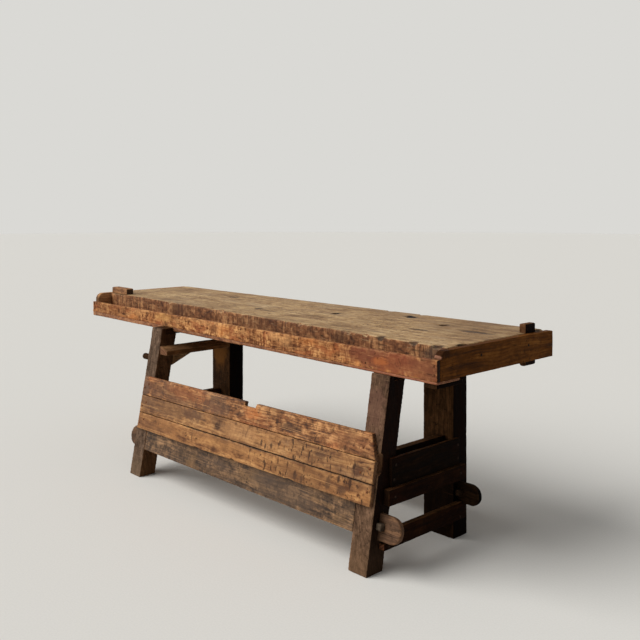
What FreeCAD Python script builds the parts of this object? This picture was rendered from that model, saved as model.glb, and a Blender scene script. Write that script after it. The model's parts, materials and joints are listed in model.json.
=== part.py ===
import FreeCAD, Part
import math
import os

# Antique joiner's bench: a tapered plank top with a tool trough along its back edge, on two trestles
# whose back legs lean outwards. Long rails with half-round tongues pass through the legs and are locked
# by tusk pegs. Millimetres, +Z up, origin on the floor under the middle of the whole bench,
# +X along the length, +Y towards the worker's front edge. Right is +X, back is -Y.

# Top: the slab is one tapered plank, so its back edge is not parallel to its front edge
TOP_HEIGHT = 780.0
TOP_LENGTH = 2522.0
TOP_DEPTH = 718.0
TOP_TAPER = 110.0
SLAB_THICKNESS = 102.0
SLAB_CORNER_RADIUS = 26.0
SLAB_EDGE_WEAR = 5.0

# End caps, nailed across the ends of the slab and the trough
CAP_THICKNESS = 30.0
CAP_BELOW_TOP = 2.0
CAP_CORNER_RADIUS = 34.0
CAP_NAILS_FROM_FRONT = (171.0, 470.0)
CAP_NAIL_DROP = 40.0

# Tool trough along the back edge
TROUGH_BOARD_THICKNESS = 18.0
TROUGH_BOARD_HEIGHT_RIGHT = 74.0
TROUGH_BOARD_HEIGHT_LEFT = 55.0
TROUGH_WIDTH_RIGHT = 68.0
TROUGH_WIDTH_LEFT = 78.0
TROUGH_FLOOR_RIGHT = 9.0
TROUGH_FLOOR_LEFT = 22.0
TROUGH_FLOOR_LAP = 40.0
BATTEN_WIDTH = 54.0
BATTEN_THICKNESS = 17.0
BATTEN_LENGTH = 145.0
BATTEN_INSET = 8.0

# Work holding: holdfast holes as (distance from the right end, distance from the front edge)
HOLDFAST_DIAMETER = 30.0
HOLDFAST_PLACES = ((937.0, 261.0), (629.0, 105.0), (375.0, 205.0))
STOP_WIDTH = 28.0
STOP_DEPTH = 69.0
STOP_LENGTH = 161.0
STOP_RISE = 33.0
STOP_FROM_FRONT = 76.0
STOP_CHAMFER = 3.0
STOP_FOOT_RADIUS = 9.0
SLOT_WIDTH = 15.0
SLOT_LENGTH = 54.0
SLOT_DEPTH = 22.0
SLOT_FROM_FRONT = 506.0
CLEAT_LENGTH = 171.0
CLEAT_DEPTH = 42.0
CLEAT_HEIGHT = 31.0
CLEAT_FROM_END = 15.0
CLEAT_HOUSING = 4.0
CLEAT_CHAMFER = 4.0

# Trestles
RIGHT_OVERHANG = 214.0
LEFT_OVERHANG = 773.0
FRONT_OVERHANG = 264.0
BACK_FOOT_SPREAD = 113.5
BACK_LEG_LEAN = 10.45
BACK_LEG_WIDTH = 88.0
BACK_LEG_DEPTH = 83.0
FRONT_LEG_WIDTH = 146.0
FRONT_LEG_DEPTH = 87.0
LEG_HORN_DEPTH = 25.0
BEARER_HEIGHT = 28.0
BEARER_TENON_HEIGHT = 18.0
BEARER_TENON_WIDTH = 44.0
BEARER_TENON_LIFT = 5.0
LEG_TENON_WIDTH = 90.0
LEG_TENON_DEPTH = 38.0
LEG_TENON_HEIGHT = 58.0
TENON_LENGTH = 42.0
TENON_SHOULDER = 9.0
DRAW_PEG_DIAMETER = 9.0
DRAW_PEG_INSET = 21.0
DRAW_PEG_LENGTH = 92.0
HEAD_PEG_INSET = 27.0
HEAD_PEG_DEPTH = 55.0
LEG_SCAR_LOW = 330.0
LEG_SCAR_HIGH = 424.0
LEG_SCAR_BITE = 13.0
LEG_SCAR_SLOPE = 16.0

# Long rails with their tongues and tusk pegs; heights along the back legs are measured on their slope
RAIL_THICKNESS = 28.0
RAIL_HEIGHT = 110.0
TONGUE_THICKNESS = 21.0
BACK_TONGUE_HEIGHT = 92.0
FRONT_TONGUE_HEIGHT = 80.0
TONGUE_REACH = 98.0
BACK_RAIL_INSET = 37.0
BACK_RAIL_LOW = 121.0
FRONT_RAIL_INSET = 29.0
FRONT_RAIL_LOW = 133.0
PEG_HEAD_WIDTH = 24.0
PEG_TAIL_WIDTH = 19.0
PEG_HEIGHT = 24.0
PEG_LENGTH = 64.0
PEG_STAND_OUT = 20.0
PEG_ABOVE_MIDDLE = 3.0
PEG_CHAMFER = 2.0
SLIDE_GAP = 0.3

# Back boarding: three planks on the back legs over a lower board between them
PLANK_THICKNESS = 18.0
PLANK_LOW = 232.0
PLANK_HEIGHTS = (74.0, 79.0, 88.0)
PLANK_GAP = 1.6
PLANK_DROOP = 15.0
PLANK_SHORT_LEFT = 27.0
PLANK_SHORT_RIGHT = 7.0
PLANK_END_SLANT = 29.0
NOTCH_FROM_RIGHT = 660.0
NOTCH_LENGTH = 70.0
NOTCH_DEPTH = 19.0
NOTCH_SLANT = 9.0
LOWER_BOARD_LOW = 128.0
LOWER_BOARD_HEIGHT = 108.0

# End boards of the right trestle, from the floor upwards
STRETCHER_LOW = 79.0
STRETCHER_HEIGHT = 64.0
STRETCHER_THICKNESS = 26.0
STRETCHER_LAP_HEIGHT = 24.0
STRETCHER_INSET = 50.0
STRETCHER_STEP = 12.0
STRETCHER_SHORT = 38.0
TONGUE_NOTCH_GAP = 1.0
OUTER_RAIL_LOW = 226.0
OUTER_RAIL_HEIGHT = 58.0
OUTER_RAIL_THICKNESS = 29.0
OUTER_RAIL_INSET = 45.0
OUTER_RAIL_SHORT = 40.0
END_BOARD_HEIGHT = 100.0
END_BOARD_THICKNESS = 15.0
END_BOARD_LAP_BACK = 40.0
END_BOARD_LAP_FRONT = 20.0
END_RAIL_THICKNESS = 35.0
END_RAIL_INSET = 36.0
RIGHT_END_RAIL_LOW = 302.0
RIGHT_END_RAIL_HEIGHT = 86.0
LEFT_END_RAIL_LOW = 283.0
LEFT_END_RAIL_HEIGHT = 60.0

# Ledger across the left trestle with its knee, and the hanging peg in the left back leg
LEDGER_DROP = 120.0
LEDGER_HEIGHT = 42.0
LEDGER_WIDTH = 60.0
LEDGER_SLOPE = 20.0
LEDGER_TENON_LENGTH = 26.0
LEDGER_TENON_SHOULDER = 6.0
LEDGER_CHAMFER = 3.0
KNEE_THICKNESS = 30.0
KNEE_DROP = 60.0
KNEE_REACH = 130.0
KNEE_LAP = 32.0
HANG_PEG_DIAMETER = 30.0
HANG_PEG_REACH = 74.0
HANG_PEG_SEAT = 48.0
HANG_PEG_DROP = 28.0
HANG_PEG_INSET = 30.0
HANG_PEG_ROUND = 5.0

# Forged nails: a low four-sided head on a square shank that tapers to a point
NAIL_HEAD_WIDTH = 9.0
NAIL_CROWN_WIDTH = 4.0
NAIL_HEAD_PROUD = 1.6
NAIL_HEAD_SUNK = 1.0
NAIL_SHANK_WIDTH = 4.2
NAIL_POINT_WIDTH = 1.6
NAIL_LENGTH = 55.0
NAIL_STAGGER = 20.0
ARRIS = 2.0

# Places worked out from the driving sizes
RIGHT, LEFT = 1, -1
X_RIGHT = TOP_LENGTH / 2
X_LEFT = -X_RIGHT
X_SLAB_RIGHT = X_RIGHT - CAP_THICKNESS
X_SLAB_LEFT = X_LEFT + CAP_THICKNESS
Y_FRONT = (TOP_DEPTH + BACK_FOOT_SPREAD) / 2
Y_FOOT = -Y_FRONT
Y_BOARD_RIGHT = Y_FRONT - TOP_DEPTH
Z_SLAB = TOP_HEIGHT - SLAB_THICKNESS
Z_SEAT = Z_SLAB - BEARER_HEIGHT
LEAN = math.radians(BACK_LEG_LEAN)
BACK_LEG_RUN = BACK_LEG_DEPTH / math.cos(LEAN)
LEDGER_LOW = Z_SLAB - LEDGER_DROP
HANG_PEG_HEIGHT = LEDGER_LOW - HANG_PEG_DROP
Y_FRONT_LEG = Y_FRONT - FRONT_OVERHANG - FRONT_LEG_DEPTH
Y_FRONT_LEG_FACE = Y_FRONT - FRONT_OVERHANG
LEG_FACE = {RIGHT: X_RIGHT - RIGHT_OVERHANG, LEFT: X_LEFT + LEFT_OVERHANG}
SIDE_NAME = {RIGHT: "right", LEFT: "left"}


def vec(x, y, z):
    return FreeCAD.Vector(x, y, z)


def box(x0, x1, y0, y1, z0, z1):
    corner = vec(min(x0, x1), min(y0, y1), min(z0, z1))
    return Part.makeBox(abs(x1 - x0), abs(y1 - y0), abs(z1 - z0), corner)


def prism(points, push):
    """A closed polygon of points pushed along a vector."""
    return Part.Face(Part.makePolygon(list(points) + [points[0]])).extrude(push)


def plan_prism(points, z0, z1):
    return prism([vec(x, y, z0) for x, y in points], vec(0, 0, z1 - z0))


def end_prism(points, x0, x1):
    """A polygon of (y, z) points between two places along the length."""
    return prism([vec(min(x0, x1), y, z) for y, z in points], vec(abs(x1 - x0), 0, 0))


def face_prism(points, y0, y1):
    """A polygon of (x, z) points between two depths."""
    return prism([vec(x, min(y0, y1), z) for x, z in points], vec(0, abs(y1 - y0), 0))


def inward(side, distance):
    """The place along the length that lies this far inside the legs' outer faces."""
    return LEG_FACE[side] - side * distance


def board_y(x):
    """Outer face of the trough board at a place along the length."""
    return Y_BOARD_RIGHT + TOP_TAPER * (X_RIGHT - x) / TOP_LENGTH


def slab_back_y(x):
    """Back edge of the slab, which is the trough's inner wall."""
    share = (X_RIGHT - x) / TOP_LENGTH
    width = TROUGH_WIDTH_RIGHT + (TROUGH_WIDTH_LEFT - TROUGH_WIDTH_RIGHT) * share
    return board_y(x) + TROUGH_BOARD_THICKNESS + width


def floor_under(x):
    """Underside of the trough's floor, a tapered board that is thicker at the left."""
    share = (X_RIGHT - x) / TOP_LENGTH
    return Z_SLAB - TROUGH_FLOOR_RIGHT - (TROUGH_FLOOR_LEFT - TROUGH_FLOOR_RIGHT) * share


def above_floor():
    """All the room above the underside of the trough's floor."""
    side = [
        (X_LEFT, floor_under(X_LEFT)),
        (X_RIGHT, floor_under(X_RIGHT)),
        (X_RIGHT, TOP_HEIGHT),
        (X_LEFT, TOP_HEIGHT),
    ]
    return face_prism(side, Y_FOOT, Y_FRONT)


def leg_back_y(z):
    """Outer, leaning face of the back legs at a height."""
    return Y_FOOT + z * math.tan(LEAN)


def leg_inner_y(z):
    """Inner face of the back legs at a height."""
    return leg_back_y(z) + BACK_LEG_RUN


def lean(shape):
    """Takes a shape drawn upright behind the plane y = 0 to the back legs' leaning face."""
    placed = shape.copy()
    placed.rotate(vec(0, 0, 0), vec(1, 0, 0), -BACK_LEG_LEAN)
    placed.translate(vec(0, Y_FOOT, 0))
    return placed


def to_front_legs(shape):
    """Takes a shape drawn upright behind the plane y = 0 to the front legs' inner face."""
    placed = shape.copy()
    placed.translate(vec(0, Y_FRONT_LEG, 0))
    return placed


def along(shape, axis, keep):
    """Edges that run along an axis and whose middle passes a test."""
    picked = []
    for edge in shape.Edges:
        ends = [vertex.Point for vertex in edge.Vertexes]
        if len(ends) < 2:
            continue
        way = (ends[1] - ends[0]).normalize()
        if abs(way.dot(axis)) > 0.999 and keep(edge.CenterOfMass):
            picked.append(edge)
    return picked


# Nails
def square(width, z):
    """A level square outline about the upright axis."""
    half = width / 2
    corners = [vec(-half, -half, z), vec(half, -half, z), vec(half, half, z), vec(-half, half, z)]
    return Part.makePolygon(corners + [corners[0]])


def nail(head, way):
    """A nail whose head sits on a surface at a point, driven along a direction."""
    crown = square(NAIL_CROWN_WIDTH, -NAIL_HEAD_PROUD)
    rim = square(NAIL_HEAD_WIDTH, 0)
    seat = square(NAIL_HEAD_WIDTH, NAIL_HEAD_SUNK)
    neck = square(NAIL_SHANK_WIDTH, NAIL_HEAD_SUNK)
    point = square(NAIL_POINT_WIDTH, NAIL_LENGTH)
    body = Part.makeLoft([crown, rim, seat], True, True).fuse(Part.makeLoft([neck, point], True, True))
    body = body.removeSplitter()
    turn = FreeCAD.Rotation(vec(0, 0, 1), way)
    body.Placement = FreeCAD.Placement(head, turn)
    return body


def leaned_nail(x, out, height):
    """A nail driven square into the back legs' face, with its head out mm in front of that face."""
    head = Part.Vertex(vec(x, -out, height))
    point = lean(head).Point
    return nail(point, vec(0, math.cos(LEAN), -math.sin(LEAN)))


def nailed(shape, *groups):
    """A board with the holes of every nail that reaches it."""
    result = shape
    for group in groups:
        for one in group:
            if one.BoundBox.intersect(result.BoundBox):
                result = result.cut(one)
    return result


def plank_end(side):
    """Where the back planks stop, just short of the back legs' outer faces."""
    short = PLANK_SHORT_RIGHT if side == RIGHT else PLANK_SHORT_LEFT
    return inward(side, short)


def droop(x):
    """How far the back planks hang down at a place along the length."""
    return PLANK_DROOP * (plank_end(RIGHT) - x) / (plank_end(RIGHT) - plank_end(LEFT))


def plank_lows():
    """The lower edge of each back plank at its right end, from the bottom up."""
    lows = [PLANK_LOW]
    for height in PLANK_HEIGHTS[:-1]:
        lows.append(lows[-1] + height + PLANK_GAP)
    return lows


def make_plank_nails():
    nails = []
    for low, height in zip(plank_lows(), PLANK_HEIGHTS):
        for side in (RIGHT, LEFT):
            lap = abs(inward(side, BACK_LEG_WIDTH) - plank_end(side))
            for step in (-0.5, 0.5):
                x = plank_end(side) - side * lap * (1 + side * step) / 2
                middle = low + height / 2 - droop(x) - step * NAIL_STAGGER
                nails.append(leaned_nail(x, PLANK_THICKNESS, middle))
    return nails


def make_cap_nails():
    nails = []
    for side, x in ((RIGHT, X_RIGHT), (LEFT, X_LEFT)):
        for from_front in CAP_NAILS_FROM_FRONT:
            head = vec(x, Y_FRONT - from_front, TOP_HEIGHT - CAP_NAIL_DROP)
            nails.append(nail(head, vec(-side, 0, 0)))
    return nails


def make_trough_nails():
    nails = []
    for x, height in ((X_RIGHT - CAP_THICKNESS / 2, TROUGH_BOARD_HEIGHT_RIGHT),
                      (X_LEFT + CAP_THICKNESS / 2, TROUGH_BOARD_HEIGHT_LEFT)):
        for share in (0.3, 0.72):
            nails.append(nail(vec(x, board_y(x), Z_SLAB + height * share), vec(0, 1, 0)))
    return nails


def make_end_nails():
    """Nails through the end boards of the trestles into the legs' outer faces."""
    nails = []
    rows = [
        (RIGHT, END_BOARD_THICKNESS, OUTER_RAIL_LOW + OUTER_RAIL_HEIGHT + END_BOARD_HEIGHT * 0.25),
        (RIGHT, END_BOARD_THICKNESS, OUTER_RAIL_LOW + OUTER_RAIL_HEIGHT + END_BOARD_HEIGHT * 0.75),
        (RIGHT, OUTER_RAIL_THICKNESS, OUTER_RAIL_LOW + OUTER_RAIL_HEIGHT * 0.5),
        (RIGHT, STRETCHER_THICKNESS, STRETCHER_LOW + STRETCHER_LAP_HEIGHT * 0.5),
        (LEFT, STRETCHER_THICKNESS, STRETCHER_LOW + STRETCHER_LAP_HEIGHT * 0.5),
    ]
    for side, thickness, z in rows:
        x = LEG_FACE[side] + side * thickness
        front = END_BOARD_LAP_FRONT / 2
        for y in (leg_inner_y(z) - END_BOARD_LAP_BACK / 3, Y_FRONT_LEG + front):
            nails.append(nail(vec(x, y, z), vec(-side, 0, 0)))
    return nails


def make_cleat_nails():
    nails = []
    for share in (0.25, 0.75):
        x = X_SLAB_LEFT + CLEAT_FROM_END + CLEAT_LENGTH * share
        y = slab_back_y(x) + CLEAT_DEPTH / 2
        nails.append(nail(vec(x, y, TOP_HEIGHT + CLEAT_HEIGHT), vec(0, 0, -1)))
    return nails


PLANK_NAILS = make_plank_nails()
CAP_NAILS = make_cap_nails()
TROUGH_NAILS = make_trough_nails()
END_NAILS = make_end_nails()
CLEAT_NAILS = make_cleat_nails()


# Long rails, tongues and tusk pegs, drawn upright behind the plane y = 0
def tongue_bar(inset, low, height):
    """The bar that passes through both legs of one side, with half-round ends."""
    radius = height / 2
    x0 = LEG_FACE[LEFT] - TONGUE_REACH + radius
    x1 = LEG_FACE[RIGHT] + TONGUE_REACH - radius
    z0 = low
    z1 = low + height
    middle = low + radius
    outline = Part.Wire([
        Part.LineSegment(vec(x0, inset, z0), vec(x1, inset, z0)).toShape(),
        Part.Arc(vec(x1, inset, z0), vec(x1 + radius, inset, middle), vec(x1, inset, z1)).toShape(),
        Part.LineSegment(vec(x1, inset, z1), vec(x0, inset, z1)).toShape(),
        Part.Arc(vec(x0, inset, z1), vec(x0 - radius, inset, middle), vec(x0, inset, z0)).toShape(),
    ])
    return Part.Face(outline).extrude(vec(0, TONGUE_THICKNESS, 0))


def tusk(side, inset, low, height, gap):
    """A tapered peg just outside the leg, with its thick end standing out of the tongue's back face."""
    y0 = inset - PEG_STAND_OUT
    y1 = y0 + PEG_LENGTH
    inner = LEG_FACE[side] + side * (SLIDE_GAP - gap)
    head = inner + side * (PEG_HEAD_WIDTH + 2 * gap)
    tail = inner + side * (PEG_TAIL_WIDTH + 2 * gap)
    middle = low + height / 2 + PEG_ABOVE_MIDDLE
    half = PEG_HEIGHT / 2 + gap
    return plan_prism([(inner, y0), (head, y0), (tail, y1), (inner, y1)], middle - half, middle + half)


def long_rail(inset, low, height, inner_left, inner_right):
    """A rail with shoulders between the legs, its tongues and the slots of its two pegs."""
    body = box(inner_left, inner_right, inset, inset + RAIL_THICKNESS, low, low + RAIL_HEIGHT)
    rail = body.fuse(tongue_bar(inset, low, height)).removeSplitter()
    for side in (RIGHT, LEFT):
        rail = rail.cut(tusk(side, inset, low, height, SLIDE_GAP))
    return rail


def tusk_peg(side, inset, low, height):
    peg = tusk(side, inset, low, height, 0.0)
    head_y = inset - PEG_STAND_OUT
    rim = [edge for edge in peg.Edges if abs(edge.CenterOfMass.y - head_y) < ARRIS / 10]
    return peg.makeChamfer(PEG_CHAMFER, rim)


# Top
def make_trough_floor():
    reach = TROUGH_FLOOR_LAP
    plan = [
        (X_LEFT, board_y(X_LEFT)),
        (X_RIGHT, board_y(X_RIGHT)),
        (X_RIGHT, slab_back_y(X_RIGHT) + reach),
        (X_LEFT, slab_back_y(X_LEFT) + reach),
    ]
    return plan_prism(plan, floor_under(X_LEFT), Z_SLAB).common(above_floor())


def make_trough_board():
    thick = TROUGH_BOARD_THICKNESS
    plan = [
        (X_LEFT, board_y(X_LEFT)),
        (X_RIGHT, board_y(X_RIGHT)),
        (X_RIGHT, board_y(X_RIGHT) + thick),
        (X_LEFT, board_y(X_LEFT) + thick),
    ]
    board = plan_prism(plan, Z_SLAB, TOP_HEIGHT)
    side = [
        (X_LEFT, Z_SLAB),
        (X_RIGHT, Z_SLAB),
        (X_RIGHT, Z_SLAB + TROUGH_BOARD_HEIGHT_RIGHT),
        (X_LEFT, Z_SLAB + TROUGH_BOARD_HEIGHT_LEFT),
    ]
    board = board.common(face_prism(side, Y_FOOT, Y_FRONT))
    return nailed(board, TROUGH_NAILS)


def make_cap(side):
    x0, x1 = (X_SLAB_RIGHT, X_RIGHT) if side == RIGHT else (X_LEFT, X_SLAB_LEFT)
    thick = TROUGH_BOARD_THICKNESS
    top = TOP_HEIGHT - CAP_BELOW_TOP
    plan = [(x0, board_y(x0) + thick), (x1, board_y(x1) + thick), (x1, Y_FRONT), (x0, Y_FRONT)]
    cap = plan_prism(plan, Z_SLAB, top)
    near = board_y(max(x0, x1)) + thick
    radius = CAP_CORNER_RADIUS
    block = box(x0, x1, near - radius, near + radius, top - radius, top)
    round_off = Part.makeCylinder(radius, x1 - x0, vec(x0, near + radius, top - radius), vec(1, 0, 0))
    cap = cap.cut(block.cut(round_off))
    front_arris = along(cap, vec(1, 0, 0), lambda p: abs(p.y - Y_FRONT) < ARRIS and p.z > top - ARRIS)
    cap = cap.makeFillet(ARRIS * 2, front_arris)
    return nailed(cap, CAP_NAILS, TROUGH_NAILS)


def stop_place():
    """Corner of the planing stop nearest the left end, the back and the floor."""
    x = X_SLAB_RIGHT - SLIDE_GAP - STOP_WIDTH
    y = Y_FRONT - STOP_FROM_FRONT - STOP_DEPTH
    return vec(x, y, TOP_HEIGHT + STOP_RISE - STOP_LENGTH)


def make_planing_stop():
    stop = Part.makeBox(STOP_WIDTH, STOP_DEPTH, STOP_LENGTH, stop_place())
    low = stop.BoundBox.ZMin
    high = stop.BoundBox.ZMax
    foot = along(stop, vec(0, 1, 0), lambda p: abs(p.z - low) < ARRIS)
    stop = stop.makeFillet(STOP_FOOT_RADIUS, foot)
    crown = [edge for edge in stop.Edges if abs(edge.CenterOfMass.z - high) < ARRIS / 10]
    return stop.makeChamfer(STOP_CHAMFER, crown)


def leg_tenon(side):
    """Tenon on a front leg's head, let into the underside of the slab."""
    middle = inward(side, FRONT_LEG_WIDTH / 2)
    y = Y_FRONT_LEG + FRONT_LEG_DEPTH / 2
    half_x = LEG_TENON_WIDTH / 2
    half_y = LEG_TENON_DEPTH / 2
    return box(middle - half_x, middle + half_x, y - half_y, y + half_y, Z_SLAB, Z_SLAB + LEG_TENON_HEIGHT)


def make_bench_top():
    plan = [
        (X_SLAB_LEFT, slab_back_y(X_SLAB_LEFT)),
        (X_SLAB_RIGHT, slab_back_y(X_SLAB_RIGHT)),
        (X_SLAB_RIGHT, Y_FRONT),
        (X_SLAB_LEFT, Y_FRONT),
    ]
    slab = plan_prism(plan, Z_SLAB, TOP_HEIGHT)
    corner = along(slab, vec(0, 0, 1), lambda p: p.y > Y_FRONT - ARRIS and p.x < 0)
    slab = slab.makeFillet(SLAB_CORNER_RADIUS, corner)
    front_arris = along(slab, vec(1, 0, 0), lambda p: p.y > Y_FRONT - ARRIS and p.z > TOP_HEIGHT - ARRIS)
    slab = slab.makeChamfer(SLAB_EDGE_WEAR, front_arris)
    for from_right, from_front in HOLDFAST_PLACES:
        place = vec(X_RIGHT - from_right, Y_FRONT - from_front, Z_SLAB)
        slab = slab.cut(Part.makeCylinder(HOLDFAST_DIAMETER / 2, SLAB_THICKNESS, place))
    stop = stop_place()
    slab = slab.cut(box(stop.x - SLIDE_GAP, X_RIGHT, stop.y - SLIDE_GAP, stop.y + STOP_DEPTH + SLIDE_GAP,
                        Z_SLAB, TOP_HEIGHT))
    slot_y = Y_FRONT - SLOT_FROM_FRONT
    slab = slab.cut(box(X_SLAB_RIGHT - SLOT_WIDTH, X_SLAB_RIGHT, slot_y - SLOT_LENGTH, slot_y,
                        TOP_HEIGHT - SLOT_DEPTH, TOP_HEIGHT))
    for side in (RIGHT, LEFT):
        slab = slab.cut(leg_tenon(side))
    slab = slab.cut(cleat_block())
    return nailed(slab, CAP_NAILS, CLEAT_NAILS)


def cleat_block():
    """The stop block at the left end, let into a shallow housing along the slab's back edge."""
    x0 = X_SLAB_LEFT + CLEAT_FROM_END
    x1 = x0 + CLEAT_LENGTH
    y0, y1 = slab_back_y(x0), slab_back_y(x1)
    plan = [(x0, y0), (x1, y1), (x1, y1 + CLEAT_DEPTH), (x0, y0 + CLEAT_DEPTH)]
    return plan_prism(plan, TOP_HEIGHT - CLEAT_HOUSING, TOP_HEIGHT + CLEAT_HEIGHT)


def make_corner_cleat():
    cleat = cleat_block()
    high = TOP_HEIGHT + CLEAT_HEIGHT
    ends = along(cleat, vec(0, 1, 0), lambda p: abs(p.z - high) < ARRIS)
    return nailed(cleat.makeChamfer(CLEAT_CHAMFER, ends), CLEAT_NAILS)


def make_trough_batten():
    x1 = X_RIGHT - BATTEN_INSET
    y0 = board_y(x1) + BATTEN_INSET
    low = floor_under(x1) - BATTEN_THICKNESS
    return box(x1 - BATTEN_WIDTH, x1, y0, y0 + BATTEN_LENGTH, low, Z_SLAB).cut(above_floor())


# Trestles
def horn_y():
    """Inner face of the horn that stands in front of the bearer's end on a back leg's head."""
    return leg_back_y(Z_SEAT) + LEG_HORN_DEPTH


def bearer_tenon(side):
    middle = inward(side, BACK_LEG_WIDTH / 2)
    half = BEARER_TENON_WIDTH / 2
    z0 = Z_SEAT + BEARER_TENON_LIFT
    return box(middle - half, middle + half, Y_FRONT_LEG, Y_FRONT_LEG + TENON_LENGTH, z0,
               z0 + BEARER_TENON_HEIGHT)


def bearer_pegs(side):
    """The upright peg in the back leg's head and the draw peg through the front leg's mortise."""
    middle = inward(side, BACK_LEG_WIDTH / 2)
    radius = DRAW_PEG_DIAMETER / 2
    length = floor_under(middle) - SLIDE_GAP - Z_SEAT + HEAD_PEG_DEPTH
    foot = vec(middle, horn_y() + HEAD_PEG_INSET, Z_SEAT - HEAD_PEG_DEPTH)
    upright = Part.makeCylinder(radius, length, foot)
    height = Z_SEAT + BEARER_TENON_LIFT + BEARER_TENON_HEIGHT / 2
    start = vec(LEG_FACE[side], Y_FRONT_LEG + DRAW_PEG_INSET, height)
    level = Part.makeCylinder(radius, DRAW_PEG_LENGTH, start, vec(-side, 0, 0))
    return [upright, level]


BEARER_PEGS = bearer_pegs(RIGHT) + bearer_pegs(LEFT)
BACK_RAIL = (BACK_RAIL_INSET, BACK_RAIL_LOW, BACK_TONGUE_HEIGHT)
FRONT_RAIL = (FRONT_RAIL_INSET, FRONT_RAIL_LOW, FRONT_TONGUE_HEIGHT)
BACK_TONGUES = lean(tongue_bar(*BACK_RAIL))
FRONT_TONGUES = to_front_legs(tongue_bar(*FRONT_RAIL))


def make_bearer(side, floor):
    x0, x1 = inward(side, 0), inward(side, BACK_LEG_WIDTH)
    bar = box(x0, x1, horn_y(), Y_FRONT_LEG, Z_SEAT, Z_SLAB)
    bar = bar.cut(floor).fuse(bearer_tenon(side)).removeSplitter()
    return nailed(bar, BEARER_PEGS)


def end_rail_span(side):
    return inward(side, END_RAIL_INSET), inward(side, END_RAIL_INSET + END_RAIL_THICKNESS)


def end_rail_tenon(side, low, height):
    """The stub tenons of an end rail, in one bar that runs from leg to leg."""
    x0, x1 = end_rail_span(side)
    z0 = low + TENON_SHOULDER
    z1 = low + height - TENON_SHOULDER
    points = [
        (leg_inner_y(z0) - TENON_LENGTH, z0),
        (Y_FRONT_LEG + TENON_LENGTH, z0),
        (Y_FRONT_LEG + TENON_LENGTH, z1),
        (leg_inner_y(z1) - TENON_LENGTH, z1),
    ]
    shy = side * TENON_SHOULDER
    return end_prism(points, x0 - shy, x1 + shy)


def make_end_rail(side, low, height):
    """A rail tenoned between the two legs of a trestle; its back shoulder follows the leaning leg."""
    x0, x1 = end_rail_span(side)
    high = low + height
    points = [(leg_inner_y(low), low), (Y_FRONT_LEG, low), (Y_FRONT_LEG, high), (leg_inner_y(high), high)]
    return end_prism(points, x0, x1).fuse(end_rail_tenon(side, low, height)).removeSplitter()


END_RAILS = {
    RIGHT: (RIGHT_END_RAIL_LOW, RIGHT_END_RAIL_HEIGHT),
    LEFT: (LEFT_END_RAIL_LOW, LEFT_END_RAIL_HEIGHT),
}


def hang_peg_body():
    y = leg_back_y(HANG_PEG_HEIGHT) + HANG_PEG_INSET
    start = vec(LEG_FACE[LEFT] - HANG_PEG_REACH, y, HANG_PEG_HEIGHT)
    return Part.makeCylinder(HANG_PEG_DIAMETER / 2, HANG_PEG_REACH + HANG_PEG_SEAT, start, vec(1, 0, 0))


def make_hanging_peg():
    peg = hang_peg_body()
    tip = [edge for edge in peg.Edges if edge.CenterOfMass.x < LEG_FACE[LEFT] - HANG_PEG_REACH + ARRIS]
    return peg.makeFillet(HANG_PEG_ROUND, tip[:1])


def leg_scar():
    """The worn bite out of the right back leg's outer arris."""
    x = LEG_FACE[RIGHT]
    points = [
        (x + LEG_SCAR_BITE, LEG_SCAR_LOW),
        (x - LEG_SCAR_BITE, LEG_SCAR_LOW + LEG_SCAR_SLOPE),
        (x - LEG_SCAR_BITE, LEG_SCAR_HIGH - LEG_SCAR_SLOPE),
        (x + LEG_SCAR_BITE, LEG_SCAR_HIGH),
    ]
    bite = face_prism(points, -LEG_SCAR_BITE, LEG_SCAR_BITE * 2)
    bite.rotate(vec(x, 0, 0), vec(0, 0, 1), -45)
    return lean(bite)


def make_back_leg(side):
    """A leaning leg; the right one ends under the trough, the left one stands clear of it and runs on."""
    x0, x1 = inward(side, 0), inward(side, BACK_LEG_WIDTH)
    points = [
        (leg_back_y(0), 0),
        (leg_inner_y(0), 0),
        (leg_inner_y(Z_SLAB), Z_SLAB),
        (leg_back_y(Z_SLAB), Z_SLAB),
    ]
    leg = end_prism(points, x0, x1)
    leg = leg.cut(box(x0, x1, horn_y(), Y_FRONT, Z_SEAT, TOP_HEIGHT))
    if side == RIGHT:
        leg = leg.cut(above_floor())
    leg = leg.cut(BACK_TONGUES).cut(end_rail_tenon(side, *END_RAILS[side]))
    if side == RIGHT:
        leg = leg.cut(leg_scar())
    if side == LEFT:
        leg = leg.cut(hang_peg_body())
    return nailed(leg, PLANK_NAILS, END_NAILS, BEARER_PEGS)


def ledger_outline(shy):
    """Section of the ledger, whose top falls away from the leg, drawn in on every side by a shoulder."""
    x0 = inward(LEFT, BACK_LEG_WIDTH)
    high = LEDGER_LOW + LEDGER_HEIGHT - shy
    near, far = shy, LEDGER_WIDTH - shy
    fall = LEDGER_SLOPE / LEDGER_WIDTH
    return [
        (x0 + near, LEDGER_LOW + shy),
        (x0 + far, LEDGER_LOW + shy),
        (x0 + far, high - fall * far),
        (x0 + near, high - fall * near),
    ]


def ledger_tenon():
    return face_prism(ledger_outline(LEDGER_TENON_SHOULDER), Y_FRONT_LEG, Y_FRONT_LEG + LEDGER_TENON_LENGTH)


def make_front_leg(side):
    x0, x1 = inward(side, 0), inward(side, FRONT_LEG_WIDTH)
    leg = box(x0, x1, Y_FRONT_LEG, Y_FRONT_LEG_FACE, 0, Z_SLAB).fuse(leg_tenon(side)).removeSplitter()
    leg = leg.cut(FRONT_TONGUES).cut(end_rail_tenon(side, *END_RAILS[side])).cut(bearer_tenon(side))
    if side == LEFT:
        leg = leg.cut(ledger_tenon())
    return nailed(leg, END_NAILS, BEARER_PEGS)


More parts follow.
